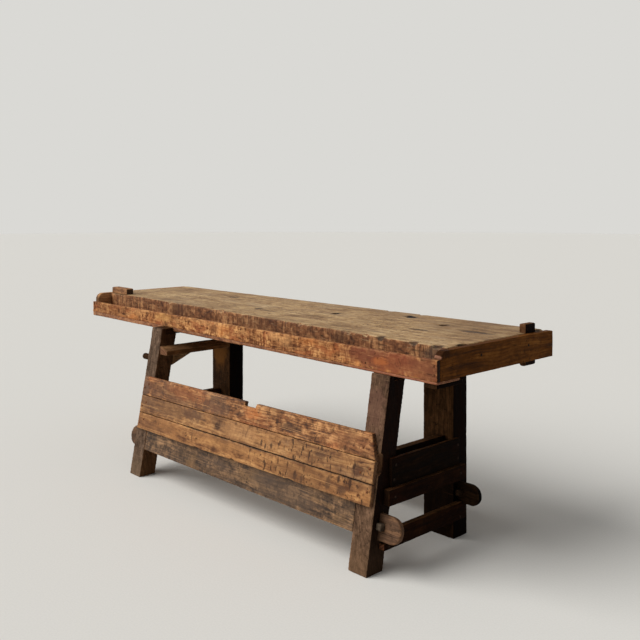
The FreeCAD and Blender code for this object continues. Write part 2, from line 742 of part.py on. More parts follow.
def make_stretcher(side):
    """Foot stretcher lapped on the legs' outer faces; it steps down under the back rail's tongue."""
    low = STRETCHER_LOW
    lap = low + STRETCHER_LAP_HEIGHT
    high = low + STRETCHER_HEIGHT
    start = leg_back_y(low) + STRETCHER_INSET
    step = leg_inner_y(high) + STRETCHER_STEP
    end = Y_FRONT_LEG_FACE - STRETCHER_SHORT
    points = [(start, low), (end, low), (end, high), (step, high), (step, lap), (start, lap)]
    x0, x1 = LEG_FACE[side], LEG_FACE[side] + side * STRETCHER_THICKNESS
    bar = end_prism(points, x0, x1)
    tongue_y = Y_FRONT_LEG + FRONT_RAIL_INSET
    gap = TONGUE_NOTCH_GAP
    bar = bar.cut(box(x0, x1, tongue_y - gap, tongue_y + TONGUE_THICKNESS + gap,
                      FRONT_RAIL_LOW - gap, TOP_HEIGHT))
    return nailed(bar, END_NAILS)


def make_outer_rail():
    x0, x1 = LEG_FACE[RIGHT], LEG_FACE[RIGHT] + OUTER_RAIL_THICKNESS
    high = OUTER_RAIL_LOW + OUTER_RAIL_HEIGHT
    start = leg_back_y(OUTER_RAIL_LOW) + OUTER_RAIL_INSET
    rail = box(x0, x1, start, Y_FRONT_LEG_FACE - OUTER_RAIL_SHORT, OUTER_RAIL_LOW, high)
    return nailed(rail, END_NAILS)


def make_end_board():
    low = OUTER_RAIL_LOW + OUTER_RAIL_HEIGHT
    high = low + END_BOARD_HEIGHT
    x0, x1 = LEG_FACE[RIGHT], LEG_FACE[RIGHT] + END_BOARD_THICKNESS
    board = box(x0, x1, leg_inner_y(high) - END_BOARD_LAP_BACK, Y_FRONT_LEG + END_BOARD_LAP_FRONT, low, high)
    return nailed(board, END_NAILS)


def make_ledger():
    bar = face_prism(ledger_outline(0), leg_back_y(LEDGER_LOW + LEDGER_HEIGHT), Y_FRONT_LEG)
    inner = inward(LEFT, BACK_LEG_WIDTH + LEDGER_WIDTH)
    worn = along(bar, vec(0, 1, 0), lambda p: abs(p.x - inner) < ARRIS)
    return bar.makeChamfer(LEDGER_CHAMFER, worn).fuse(ledger_tenon()).removeSplitter()


def make_knee():
    """Three-cornered block between the left back leg and the side of the ledger."""
    low = LEDGER_LOW - KNEE_DROP
    high = LEDGER_LOW + KNEE_LAP
    reach = leg_inner_y(LEDGER_LOW) + KNEE_REACH
    points = [(leg_inner_y(low), low), (reach, LEDGER_LOW), (reach, high), (leg_inner_y(high), high)]
    return end_prism(points, inward(LEFT, BACK_LEG_WIDTH), inward(LEFT, BACK_LEG_WIDTH - KNEE_THICKNESS))


# Back boarding, drawn upright in front of the plane y = 0 and leaned with the legs
def plank_outline(index):
    low = plank_lows()[index]
    high = low + PLANK_HEIGHTS[index]
    left, right = plank_end(LEFT), plank_end(RIGHT)
    if index < len(PLANK_HEIGHTS) - 1:
        top = [(right, high), (left, high - droop(left))]
    else:
        notch_right = right - NOTCH_FROM_RIGHT
        notch_left = notch_right - NOTCH_LENGTH
        short = right - PLANK_END_SLANT
        top = [
            (short, high - droop(short)),
            (notch_right, high - droop(notch_right)),
            (notch_right - NOTCH_SLANT, high - droop(notch_right) - NOTCH_DEPTH),
            (notch_left - NOTCH_SLANT / 2, high - droop(notch_left) - NOTCH_DEPTH),
            (notch_left, high - droop(notch_left)),
            (left, high - droop(left)),
        ]
    return [(left, low - droop(left)), (right, low)] + top


def make_plank(index):
    plank = face_prism(plank_outline(index), -PLANK_THICKNESS, 0)
    return nailed(lean(plank), PLANK_NAILS)


def make_lower_board():
    x0, x1 = inward(LEFT, BACK_LEG_WIDTH), inward(RIGHT, BACK_LEG_WIDTH)
    high = LOWER_BOARD_LOW + LOWER_BOARD_HEIGHT
    return lean(box(x0, x1, 0, BACK_RAIL_INSET, LOWER_BOARD_LOW, high))


def build():
    floor = make_trough_floor()
    nodes = {
        "bench_top": make_bench_top(),
        "trough_floor": floor,
        "trough_board": make_trough_board(),
        "trough_batten": make_trough_batten(),
        "planing_stop": make_planing_stop(),
        "corner_cleat": make_corner_cleat(),
        "outer_rail_right": make_outer_rail(),
        "end_board_right": make_end_board(),
        "ledger_left": make_ledger(),
        "ledger_knee": make_knee(),
        "hanging_peg": make_hanging_peg(),
        "lower_back_board": make_lower_board(),
    }
    for side in (RIGHT, LEFT):
        name = SIDE_NAME[side]
        nodes["end_cap_" + name] = make_cap(side)
        nodes["bearer_" + name] = make_bearer(side, floor)
        nodes["back_leg_" + name] = make_back_leg(side)
        nodes["front_leg_" + name] = make_front_leg(side)
        nodes["end_rail_" + name] = make_end_rail(side, *END_RAILS[side])
        nodes["stretcher_" + name] = make_stretcher(side)
        nodes["back_tusk_peg_" + name] = lean(tusk_peg(side, *BACK_RAIL))
        nodes["front_tusk_peg_" + name] = to_front_legs(tusk_peg(side, *FRONT_RAIL))
    inner_left, inner_right = inward(LEFT, BACK_LEG_WIDTH), inward(RIGHT, BACK_LEG_WIDTH)
    nodes["back_long_rail"] = lean(long_rail(*BACK_RAIL, inner_left, inner_right))
    inner_left, inner_right = inward(LEFT, FRONT_LEG_WIDTH), inward(RIGHT, FRONT_LEG_WIDTH)
    nodes["front_long_rail"] = to_front_legs(long_rail(*FRONT_RAIL, inner_left, inner_right))
    for index, name in enumerate(("bottom", "middle", "top")):
        nodes["back_plank_" + name] = make_plank(index)
    groups = {
        "plank_nails": PLANK_NAILS,
        "cap_nails": CAP_NAILS,
        "trough_nails": TROUGH_NAILS,
        "end_board_nails": END_NAILS,
        "cleat_nails": CLEAT_NAILS,
        "bearer_pegs": BEARER_PEGS,
    }
    for name, solids in groups.items():
        nodes[name] = Part.makeCompound(solids)
    return nodes


def main():
    os.makedirs("parts", exist_ok=True)
    for name, shape in build().items():
        shape.exportStep(os.path.join("parts", name + ".step"))
        print(name, len(shape.Solids), shape.isValid(), round(shape.Volume / 1000.0, 1))


main()
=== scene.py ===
"""Looks of the joiner's bench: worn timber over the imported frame, wood and iron, stage, camera and light."""
import json
import math
from collections import namedtuple

import bpy
import numpy as np
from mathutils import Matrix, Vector

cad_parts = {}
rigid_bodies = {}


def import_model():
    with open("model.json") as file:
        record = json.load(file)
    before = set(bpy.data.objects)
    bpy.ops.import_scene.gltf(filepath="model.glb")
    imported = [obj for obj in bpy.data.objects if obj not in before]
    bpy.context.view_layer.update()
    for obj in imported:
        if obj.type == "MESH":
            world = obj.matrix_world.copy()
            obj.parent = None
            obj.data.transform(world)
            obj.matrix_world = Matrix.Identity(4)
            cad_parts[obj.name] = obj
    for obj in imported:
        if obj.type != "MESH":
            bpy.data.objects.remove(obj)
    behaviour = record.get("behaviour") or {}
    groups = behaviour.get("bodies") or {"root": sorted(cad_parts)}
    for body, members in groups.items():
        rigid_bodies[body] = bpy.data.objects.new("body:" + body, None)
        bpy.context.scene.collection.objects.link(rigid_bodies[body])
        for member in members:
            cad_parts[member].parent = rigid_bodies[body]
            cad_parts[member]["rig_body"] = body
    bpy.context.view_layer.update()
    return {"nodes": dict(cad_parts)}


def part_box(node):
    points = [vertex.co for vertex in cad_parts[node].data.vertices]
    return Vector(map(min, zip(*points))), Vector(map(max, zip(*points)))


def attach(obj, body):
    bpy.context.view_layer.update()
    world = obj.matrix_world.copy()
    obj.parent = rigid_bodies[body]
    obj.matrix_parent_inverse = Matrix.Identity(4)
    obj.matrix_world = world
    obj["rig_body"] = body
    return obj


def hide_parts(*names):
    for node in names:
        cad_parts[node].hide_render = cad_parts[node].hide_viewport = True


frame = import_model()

SCENE = bpy.context.scene
X, Y, Z = 0, 1, 2

# Places on the bench, in metres

LEAN = math.radians(10.45)          # of the back legs and the boards on them
OUTWARD = np.array((0.0, -math.cos(LEAN), math.sin(LEAN)))      # the way that the back boarding faces
TOP_Z = 0.780                       # upper face of the slab
SLAB_RIGHT = 1.231
SLAB_LENGTH = 2.462
EDGE_RIGHT = -0.2148                # the slab's back edge at its right end
EDGE_TAPER = 0.1171                 # how much nearer to the front the edge is at the left end
PLANK_RIGHT = 1.04
PLANK_LENGTH = 1.5
SEAM_RIGHT = 0.305                  # height of the seam between the lower two planks at the right end
SEAM_DROP = 0.0148                  # how much lower the seam is at the left end
PLANK_FACE = 0.006                  # depth of a plank's outer layer, which wears

# Seeds

WOOD_SEED = 11                      # of the first piece's material; each further piece has one more
WEAR_SEED = 100                     # of the first piece's wear
WEAR_SEED_STEP = 9                  # from piece to piece, as the wear of one piece uses several
CHIP_SEED = 5
PEG_SEED = 77

# Wear of the timber; cells are sizes of noise in metres

LATTICE_SCATTER = np.array((73856093, 19349663, 83492791))
SEED_SCATTER = 2654435761
HASH_FACTOR = 1274126177
SEED_SHIFT = 7.31
MEAN_ROUNDING = 0.5                 # of the arrises; noise makes it more or less
LEAST_ROUNDING = 0.12
BROAD_CELL = 0.06
BROAD_SHARE = 0.45
FINE_CELL = 0.016
FINE_SHARE = 0.35
ROUNDING_STEP = 0.62                # greatest share of the way to the neighbours' mean, in one round
WORN_THROUGH = 0.55                 # voxels of lost wood at which an arris counts as fully worn
RIM_ROUNDS = 2                      # by which the worn look spreads from the arrises
RIM_SPREAD = 0.85
HOLLOW_CELL = 0.03
HOLLOW_RUN = 0.22                   # cell of the hollows along the grain
CHIP_CELL = 0.021
CHIP_FROM = 0.34                    # noise above which an arris is chipped
CHIP_DEPTH = 7                      # in depths of the hollows
DENT_CELL = 0.012                   # of the dents' ragged outlines
DENT_RAGGED = 0.5
DENT_SHAPE = 0.8                    # below 1 for a steep rim


# Meshes

def lattice(points, cell, seed):
    """Smooth noise between -1 and 1 at the points, with cells of the given size in metres."""
    place = points / np.asarray(cell, float) + seed * SEED_SHIFT
    corner = np.floor(place).astype(np.int64)
    part = place - corner
    part = part * part * (3 - 2 * part)
    out = np.zeros(len(points))
    for k in range(8):
        step = np.array([k & 1, k >> 1 & 1, k >> 2 & 1])
        a, b, c = ((corner + step) * LATTICE_SCATTER).T
        mixed = a ^ b ^ c ^ (seed * SEED_SCATTER)
        mixed = ((mixed ^ (mixed >> 13)) * HASH_FACTOR) & 0x7FFFFFFF
        mixed = ((mixed ^ (mixed >> 16)) & 0xFFFF) / 32767.5 - 1
        out += mixed * np.prod(np.where(step, part, 1 - part), axis=1)
    return out


def shown(name, mesh):
    """A new object in the scene."""
    obj = bpy.data.objects.new(name, mesh)
    SCENE.collection.objects.link(obj)
    return obj


def applied(obj):
    """The object's mesh with its modifiers applied; the object goes."""
    deps = bpy.context.evaluated_depsgraph_get()
    mesh = bpy.data.meshes.new_from_object(obj.evaluated_get(deps))
    old = obj.data
    bpy.data.objects.remove(obj)
    bpy.data.meshes.remove(old)
    return mesh


def triples(items, word):
    """Three numbers of each vertex or normal, as an array."""
    flat = np.empty(len(items) * 3, np.float32)
    items.foreach_get(word, flat)
    return flat.reshape(-1, 3).astype(float)


def moved(mesh, points):
    """Puts the mesh's vertices at the points."""
    mesh.vertices.foreach_set("co", points.astype(np.float32).ravel())
    mesh.update()


def even_copy(node, voxel):
    """A copy of a CAD node's mesh, divided into even faces."""
    raw = shown(node + "_raw", frame["nodes"][node].data.copy())
    mod = raw.modifiers.new("voxels", "REMESH")
    mod.mode = "VOXEL"
    mod.voxel_size = voxel
    return applied(raw)


def neighbour_mean(mesh):
    """A function that gives each vertex the mean of its neighbours' rows."""
    count = len(mesh.vertices)
    ends = np.empty(len(mesh.edges) * 2, np.int64)
    mesh.edges.foreach_get("vertices", ends)
    a, b = ends.reshape(-1, 2).T
    degree = np.maximum(np.bincount(a, minlength=count) + np.bincount(b, minlength=count), 1)

    def mean(rows):
        sums = [np.bincount(a, column[b], count) + np.bincount(b, column[a], count) for column in rows.T]
        return np.stack(sums, 1) / degree[:, None]

    return mean


Wear = namedtuple("Wear", "voxel rounds depth keep")


def worn(node, wear, seed, dents, grain, hold):
    """A worn copy of a CAD node: its arrises rounded unevenly and chipped here and there, its faces a little
    hollow. Only inner corners fill up a little; all else moves inwards, so the piece stays in its place.
    dents: centre, radii, depth and direction of each. hold: a function that says which points stay crisp."""
    src = frame["nodes"][node]
    mesh = even_copy(node, wear.voxel)
    mean = neighbour_mean(mesh)
    co = triples(mesh.vertices, "co")
    start = co.copy()
    soft = MEAN_ROUNDING + BROAD_SHARE * lattice(co, BROAD_CELL, seed)
    soft = soft + FINE_SHARE * lattice(co, FINE_CELL, seed + 1)
    free = np.ones(len(co)) if hold is None else 1.0 - np.clip(hold(co), 0, 1)
    soft = np.clip(soft, LEAST_ROUNDING, 1) * ROUNDING_STEP * free
    for _ in range(wear.rounds):
        co = co + soft[:, None] * (mean(co) - co)
    moved(mesh, co)
    no = triples(mesh.vertex_normals, "vector")
    lost = ((start - co) * no).sum(1) / (wear.voxel * WORN_THROUGH)
    rim = np.clip(lost, 0, 1)
    pit = np.clip(-lost, 0, 1)
    for _ in range(RIM_ROUNDS):
        rim = np.maximum(rim, RIM_SPREAD * mean(rim[:, None])[:, 0])
    # shallow hollows along the grain, and chips out of the arrises
    cell = np.full(3, HOLLOW_CELL)
    cell[grain] = HOLLOW_RUN
    sink = wear.depth * (0.5 + 0.5 * lattice(co, cell, seed + 2))
    chip = np.clip(lattice(co, CHIP_CELL, seed + 3) - CHIP_FROM, 0, 1) * rim
    sink = (sink + chip * wear.depth * CHIP_DEPTH) * free
    co = co - no * sink[:, None]
    for centre, radii, depth, towards in dents:
        far = (((co - np.array(centre)) / np.array(radii)) ** 2).sum(1)
        far = far * (1 + DENT_RAGGED * lattice(co, DENT_CELL, seed + 5))
        push = depth * np.clip(1 - far, 0, 1) ** DENT_SHAPE
        co = co + np.array(towards)[None, :] * push[:, None]
    moved(mesh, co)
    for name, values in (("rim", rim), ("pit", pit)):
        attribute = mesh.attributes.new(name, "FLOAT", "POINT")
        attribute.data.foreach_set("value", values.astype(np.float32))
    obj = shown(node + "_worn", mesh)
    obj.modifiers.new("fewer", "DECIMATE").ratio = wear.keep
    mesh = applied(obj)
    obj = shown(node + "_worn", mesh)
    mesh.name = node + "_worn"
    mesh.shade_smooth()
    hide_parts(node)
    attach(obj, src["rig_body"])
    return obj


def dressed(piece, material):
    """Gives a piece one material."""
    piece.data.materials.clear()
    piece.data.materials.append(material)


# Materials

def linear(c):
    """One part of a colour as seen on a screen, 0 to 255, as a linear value."""
    return ((c / 255 + 0.055) / 1.055) ** 2.4 if c > 10 else c / 255 / 12.92


def rgb(r, g, b):
    """A colour as seen on a screen, 0 to 255, as linear values."""
    return linear(r), linear(g), linear(b), 1.0


def darker(colour, share):
    return tuple(c * share for c in colour[:3]) + (1.0,)


def stretched(run, grain):
    """Scales along X, Y and Z for noise that changes by run[0] along the grain and run[1] across it."""
    scale = [run[1]] * 3
    scale[grain] = run[0]
    return tuple(scale)


class Tree:
    """A material's nodes, made in reading order."""

    def __init__(self, name):
        self.mat = bpy.data.materials.new(name)
        self.mat.use_nodes = True
        self.nodes = self.mat.node_tree.nodes
        self.links = self.mat.node_tree.links
        self.nodes.clear()
        out = self.nodes.new("ShaderNodeOutputMaterial")
        self.bsdf = self.nodes.new("ShaderNodeBsdfPrincipled")
        self.links.new(self.bsdf.outputs[0], out.inputs["Surface"])

    def put(self, socket, value):
        """Links a socket to another one, or sets it to a value."""
        if isinstance(value, bpy.types.NodeSocket):
            self.links.new(value, socket)
        else:
            socket.default_value = value

    def shade(self, word, value):
        """Sets or links one of the surface's own inputs."""
        self.put(self.bsdf.inputs[word], value)

    def object_space(self):
        return self.nodes.new("ShaderNodeTexCoord").outputs["Object"]

    def mapping(self, place, loc=(0, 0, 0), rot=(0, 0, 0), scale=(1, 1, 1)):
        n = self.nodes.new("ShaderNodeMapping")
        self.put(n.inputs["Vector"], place)
        n.inputs["Location"].default_value = loc
        n.inputs["Rotation"].default_value = rot
        n.inputs["Scale"].default_value = scale
        return n.outputs[0]

    def noise(self, place, scale=1.0, detail=3.0, rough=0.55, warp=0.0, colour=False):
        n = self.nodes.new("ShaderNodeTexNoise")
        self.put(n.inputs["Vector"], place)
        n.inputs["Scale"].default_value = scale
        n.inputs["Detail"].default_value = detail
        n.inputs["Roughness"].default_value = rough
        n.inputs["Distortion"].default_value = warp
        return n.outputs["Color" if colour else 0]

    def swirl(self, place, **words):
        """Noise in three directions, round zero."""
        return self.vmath("SUBTRACT", self.noise(place, colour=True, **words), (0.5, 0.5, 0.5))

    def math(self, op, a, b=None):
        n = self.nodes.new("ShaderNodeMath")
        n.operation = op
        self.put(n.inputs[0], a)
        if b is not None:
            self.put(n.inputs[1], b)
        return n.outputs[0]

    def plus(self, a, b):
        return self.math("ADD", a, b)

    def minus(self, a, b):
        return self.math("SUBTRACT", a, b)

    def times(self, a, b):
        return self.math("MULTIPLY", a, b)

    def more(self, a, b):
        return self.math("MAXIMUM", a, b)

    def vmath(self, op, a, b=None, scale=None):
        n = self.nodes.new("ShaderNodeVectorMath")
        n.operation = op
        self.put(n.inputs[0], a)
        if b is not None:
            self.put(n.inputs[1], b)
        if scale is not None:
            self.put(n.inputs["Scale"], scale)
        return n.outputs["Value" if op in ("LENGTH", "DOT_PRODUCT") else "Vector"]

    def band(self, value, low, high, to_low=0.0, to_high=1.0, smooth=True):
        n = self.nodes.new("ShaderNodeMapRange")
        n.interpolation_type = "SMOOTHSTEP" if smooth else "LINEAR"
        words = ("Value", "From Min", "From Max", "To Min", "To Max")
        for word, v in zip(words, (value, low, high, to_low, to_high)):
            self.put(n.inputs[word], v)
        return n.outputs[0]

    def even(self, value):
        """Noise spread over 0 to 1, as it seldom leaves the range from 0.3 to 0.7."""
        return self.band(value, 0.30, 0.70, smooth=False)

    def centred(self, value):
        """Noise round zero."""
        return self.minus(value, 0.5)

    def ramp(self, value, *stops):
        n = self.nodes.new("ShaderNodeValToRGB")
        elements = n.color_ramp.elements
        while len(elements) < len(stops):
            elements.new(0.5)
        for element, (position, colour) in zip(elements, stops):
            element.position = position
            element.color = colour
        self.put(n.inputs[0], value)
        return n.outputs[0]

    def mix(self, share, a, b, how="MIX"):
        n = self.nodes.new("ShaderNodeMix")
        n.data_type = "RGBA"
        n.blend_type = how
        self.put(n.inputs["Factor"], share)
        self.put(n.inputs[6], a)
        self.put(n.inputs[7], b)
        return n.outputs[2]

    def attribute(self, name):
        n = self.nodes.new("ShaderNodeAttribute")
        n.attribute_name = name
        return n.outputs["Fac"]

    def facing(self, axis):
        """How far a face looks along an axis: 1 for straight along it, -1 for straight against it."""
        geometry = self.nodes.new("ShaderNodeNewGeometry")
        along = [0.0, 0.0, 0.0]
        along[axis] = 1.0
        return self.vmath("DOT_PRODUCT", geometry.outputs["True Normal"], tuple(along))

    def square_to(self, axis):
        """How squarely a face stands to an axis, from 0 to 1."""
        return self.math("ABSOLUTE", self.facing(axis))

    def part(self, place, axis):
        n = self.nodes.new("ShaderNodeSeparateXYZ")
        self.put(n.inputs[0], place)
        return n.outputs[axis]

    def bump(self, height, strength, distance, onto=None):
        n = self.nodes.new("ShaderNodeBump")
        n.inputs["Strength"].default_value = strength
        n.inputs["Distance"].default_value = distance
        self.put(n.inputs["Height"], height)
        if onto is not None:
            self.put(n.inputs["Normal"], onto)
        return n.outputs[0]


# Noise of the wood: changes per metre along the grain and across it

WANDER = (2.2, 7.0)                 # of the whole grain
SWAY = (3.0, 16.0)                  # of the growth rings
STREAKS = (2.5, 52.0)
FIBRES = (9.0, 330.0)
MOTTLING = (26.0, 44.0)
PORES = (12.0, 190.0)
RING_RUN = (0.035, 1.0)             # the rings are long figures along the grain
TINT_RUN = (0.45, 1.0)              # times each tint's own scale
DIRT_RUN = (0.6, 1.0)               # times DIRT

# Noise of the wood: changes per metre, along X, Y and Z where there are three

CLOUDS = 5.0
DIRT = 13.0
DOTS = 75.0
DOT_GROUPS = 7.0
STAIN_WOBBLE = 34.0
SAW_BEND = 8.0
SAW_TURNS = 9.0
SAW_PATCHES = 4.0
SAW_MARKS = (95.0, 10.0)            # across the marks and along them
EDGE_MARKS = (95, 95, 9)
EDGE_PATCHES = 5.0
DASHES = (75, 75, 15)
DASH_GROUPS = (3.4, 3.4, 5)
SCRATCHES = (4, 240, 240)
SCRATCH_TURN = (0.5, 0.35, 0.6)

# Bands of noise: where a mark starts and where it is full, and in a band of four, its strength at both

TINT_BAND = (0.5, 0.66)
DIRT_BAND = (0.5, 0.7)
PORE_BAND = (0.64, 0.74)
DOT_BAND = (0.61, 0.69)
DOT_GROUP_BAND = (0.42, 0.66, 0.3, 1.0)
DASH_BAND = (0.57, 0.66)
DASH_GROUP_BAND = (0.46, 0.62)
SCRATCH_BAND = (0.70, 0.76)
SCRATCH_MORE = 0.05                 # lowers the band for a piece with many scratches
SAW_TURN_BAND = (0.46, 0.54)
SAW_PATCH_BAND = (0.34, 0.6, 0.25, 1.0)
EDGE_DARK_BAND = (0.47, 0.60)
EDGE_LIGHT_BAND = (0.46, 0.35)
EDGE_PATCH_BAND = (0.38, 0.62, 0.25, 0.75)
RIM_BAND = (0.36, 0.6, 0.15, 1.0)
ROUGHNESS_BAND = (0.3, 0.7, 0.55, 0.8)

# Bands of other values

LATE_RISE = (0.35, 0.86)            # part of a ring's width in which the late wood darkens
LATE_FALL = (0.97, 0.88)            # and in which it ends
STAIN_BAND = (1.0, 0.45)            # in radii
SIDE_BAND = (0.45, 0.75)            # how squarely a face looks back or front
END_BAND = (0.80, 0.95)             # how squarely a face is cut across the grain
# for the painted shade: how squarely a face must look right, and the heights over which the shade grows from
# its share at the floor to full
RIGHT_BAND = (0.55, 0.85)           # how squarely a face looks right
PAINTED_SHADE_HEIGHTS = (0.02, 0.22)
FOOT_FULL = 0.01                    # height below which the foot's colour is full

# Shares and sizes in the wood

SHIFT_RANGE = 3                     # of the noise from piece to piece
RING_WIDTH = 0.010
RING_SWAY = 2.6                     # in rings
PITH_OFF = (0.05, 0.16)             # range of the pith's distance from the middle of the piece
WANDER_REACH = 0.05
SAW_REACH = 0.12                    # of the marks' bends, times the slant
SAW_BOTH_WAYS = 0.2                 # slant above which the marks lie both ways
SAW_BACK = -0.6                     # slant of those that lie the other way, times the slant
FIBRE_SHARE = 0.5
RING_SHARE = 0.11
SAW_SHARE = 1.5
EDGE_LIGHT_SHARE = 0.65
TONE_SPAN = 0.34                    # from the middle tone to the dark or the light one
TINT_STEP = 5                       # between the noise of two tints
DEEP_SHARE = 0.3                    # of the dark tone, in cracks and pores
DIRT_SHARE = 0.55                   # of the dark tone, in dirt
STAIN_RAGGED = 1.7                  # in least radii of the stain
DOT_SHARE = 1.5                     # times the amount of specks
CROWDING = (-0.1, 0.12)             # of the dashes, where they are few and where they are many
PIT_SHARE = 0.75
END_RING_SHARE = 0.6
FOOT_RAGGED = 0.14
RIPPLES = (0.4, 0.006)              # strength and depth
FINE_RELIEF = (0.6, 0.0014)         # strength and depth


class Wood(Tree):
    """Old wood of one piece: its noises, and the layers that wood() puts on each other."""

    def __init__(self, name, grain, tones, seed, lean):
        super().__init__(name)
        rng = np.random.default_rng(seed)
        self.grain = grain
        self.dark, self.middle, self.light = tones
        self.deep = darker(self.dark, DEEP_SHARE)
        self.shift = tuple(float(v) for v in rng.uniform(-SHIFT_RANGE, SHIFT_RANGE, 3))
        self.other = tuple(float(v) for v in rng.uniform(-SHIFT_RANGE, SHIFT_RANGE, 3))
        self.raw = self.object_space()
        self.flat = self.mapping(self.raw, rot=(-lean, 0, 0)) if lean else self.raw
        # the grain wanders, and turns round hidden knots
        wander = self.swirl(self.along(self.flat, self.shift, WANDER), detail=2.0)
        self.bent = self.vmath("ADD", self.flat, self.vmath("SCALE", wander, scale=WANDER_REACH))
        self.late = self.rings(name, rng)
        self.streaks = self.noise(self.along(self.bent, self.shift, STREAKS), detail=4.0, rough=0.62)
        self.fibre = self.noise(self.along(self.bent, self.shift, FIBRES), detail=3.0, rough=0.65)
        mottling = self.along(self.flat, self.other, MOTTLING)
        self.mottle = self.noise(mottling, detail=4.0, rough=0.68, warp=0.4)
        self.cloud = self.noise(self.mapping(self.flat, self.shift), scale=CLOUDS, detail=5.0, rough=0.62)

    def along(self, place, shift, run):
        """Places for noise that runs along the grain."""
        return self.mapping(place, shift, scale=stretched(run, self.grain))

    def rings(self, name, rng):
        """The late wood of growth rings round a pith away from the middle of the piece."""
        low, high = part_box(name)
        pith = list((low + high) / 2)
        off = rng.choice((-1, 1), 2) * rng.uniform(*PITH_OFF, 2)
        for axis, away in zip([k for k in range(3) if k != self.grain], off):
            pith[axis] += float(away)
        scale = stretched(RING_RUN, self.grain)
        place = self.mapping(self.bent, tuple(-p * s for p, s in zip(pith, scale)), scale=scale)
        turn = self.times(self.vmath("LENGTH", place), 1.0 / RING_WIDTH)
        sway = self.noise(self.along(self.flat, self.shift, SWAY), detail=1.0)
        turn = self.math("FRACT", self.plus(turn, self.times(sway, RING_SWAY)))
        return self.times(self.band(turn, *LATE_RISE), self.band(turn, *LATE_FALL))

    def saw_marks(self, slant):
        """Marks across the grain, here and there; with much slant they lie both ways in turn."""
        across, down = SAW_MARKS
        scale = stretched((down, across), Z if self.grain != Z else X)
        bend = self.swirl(self.mapping(self.flat, self.shift), scale=SAW_BEND, detail=1.0)
        bent = self.vmath("ADD", self.flat, self.vmath("SCALE", bend, scale=SAW_REACH * slant))
        cuts = self.noise(self.mapping(bent, self.other, (0, slant, 0), scale), detail=3.0, rough=0.7)
        if slant > SAW_BOTH_WAYS:
            back = self.mapping(bent, self.shift, (0, SAW_BACK * slant, 0), scale)
            back = self.noise(back, detail=3.0, rough=0.7)
            turns = self.noise(self.mapping(self.flat, self.shift), scale=SAW_TURNS, detail=1.0)
            cuts = self.mix(self.band(turns, *SAW_TURN_BAND), cuts, back)
        where = self.noise(self.mapping(self.flat, self.other), scale=SAW_PATCHES, detail=2.0)
        return self.times(self.centred(cuts), self.band(where, *SAW_PATCH_BAND))

    def lightness(self, shares, saw, slant):
        """Streaks, mottling and clouds by their shares, with fibres, rings and saw marks."""
        value = None
        for noise, share in zip((self.streaks, self.mottle, self.cloud), shares):
            part = self.times(self.even(noise), share)
            value = part if value is None else self.plus(value, part)
        value = self.plus(value, self.times(self.centred(self.fibre), FIBRE_SHARE))
        value = self.minus(value, self.times(self.late, RING_SHARE))
        if saw:
            value = self.plus(value, self.times(self.saw_marks(slant), SAW_SHARE * saw))
        return value

    def tinted(self, colour, tints):
        """Second colours in clouds."""
        for number, (tint, amount, size) in enumerate(tints):
            shift = (self.other[2] + TINT_STEP * number, self.other[0], self.other[1])
            cloud = self.noise(self.along(self.flat, shift, TINT_RUN), scale=1 / size, detail=4.0, rough=0.6)
            colour = self.mix(self.band(cloud, *TINT_BAND, 0.0, amount), colour, tint)
        return colour

    def sawn_edge(self, tones, low, high):
        """Colour of the sawn edges that look back and front, with marks from top to bottom."""
        dark, middle, light = tones
        value = self.times(self.even(self.mottle), 0.5)
        value = self.plus(value, self.times(self.even(self.cloud), 0.5))
        colour = self.ramp(value, (low, dark), (0.5, middle), (high, light))
        marks = self.noise(self.mapping(self.flat, self.other, scale=EDGE_MARKS), detail=3.0, rough=0.7)
        where = self.noise(self.mapping(self.flat, self.shift), scale=EDGE_PATCHES, detail=2.0)
        where = self.band(where, *EDGE_PATCH_BAND)
        colour = self.mix(self.times(self.band(marks, *EDGE_DARK_BAND), where), colour, dark)
        pale = self.times(self.band(marks, *EDGE_LIGHT_BAND), self.times(where, EDGE_LIGHT_SHARE))
        return self.mix(pale, colour, light)

    def dirty(self, colour, amount):
        """Dirt in soft clouds."""
        place = self.along(self.flat, tuple(-v for v in self.shift), DIRT_RUN)
        dirt = self.noise(place, scale=DIRT, detail=6.0, rough=0.66)
        return self.mix(self.band(dirt, *DIRT_BAND, 0.0, amount), colour, darker(self.dark, DIRT_SHARE))

    def stained_and_shaded(self, colour, stains_and_shade):
        """Single marks of stain, cracks, knots and worn places, and patches of painted shade and shadow."""
        wobble = self.swirl(self.mapping(self.raw, self.other), scale=STAIN_WOBBLE, detail=4.0)
        for centre, radii, tint, amount in stains_and_shade:
            ragged = self.vmath("SCALE", wobble, scale=min(radii) * STAIN_RAGGED)
            place = self.mapping(self.vmath("ADD", self.raw, ragged),
                                 tuple(-c / r for c, r in zip(centre, radii)),
                                 scale=tuple(1 / r for r in radii))
            share = self.band(self.vmath("LENGTH", place), *STAIN_BAND, 0.0, amount)
            colour = self.mix(share, colour, tint)
        return colour

    def flaws(self, specks, dashes, crowd):
        """Where the wood is dark with pores, specks and dashes."""
        pores = self.noise(self.along(self.bent, self.shift, PORES), detail=1.0)
        hurt = self.band(pores, *PORE_BAND, 0.0, min(1.0, specks))
        dots = self.noise(self.mapping(self.flat, self.shift), scale=DOTS, detail=2.0, rough=0.5)
        groups = self.noise(self.mapping(self.flat, self.other), scale=DOT_GROUPS, detail=2.0)
        dots = self.times(self.band(dots, *DOT_BAND), self.band(groups, *DOT_GROUP_BAND))
        hurt = self.more(hurt, self.times(dots, min(1.0, specks * DOT_SHARE)))
        if dashes:
            marks = self.noise(self.mapping(self.flat, self.other, scale=DASHES), detail=2.0, warp=0.35)
            groups = self.noise(self.mapping(self.flat, self.shift, scale=DASH_GROUPS), detail=1.0)
            if crowd:
                groups = self.plus(groups, self.band(self.part(self.raw, X), *crowd, *CROWDING))
            marks = self.times(self.band(marks, *DASH_BAND), self.band(groups, *DASH_GROUP_BAND))
            hurt = self.more(hurt, self.times(marks, dashes))
        return hurt

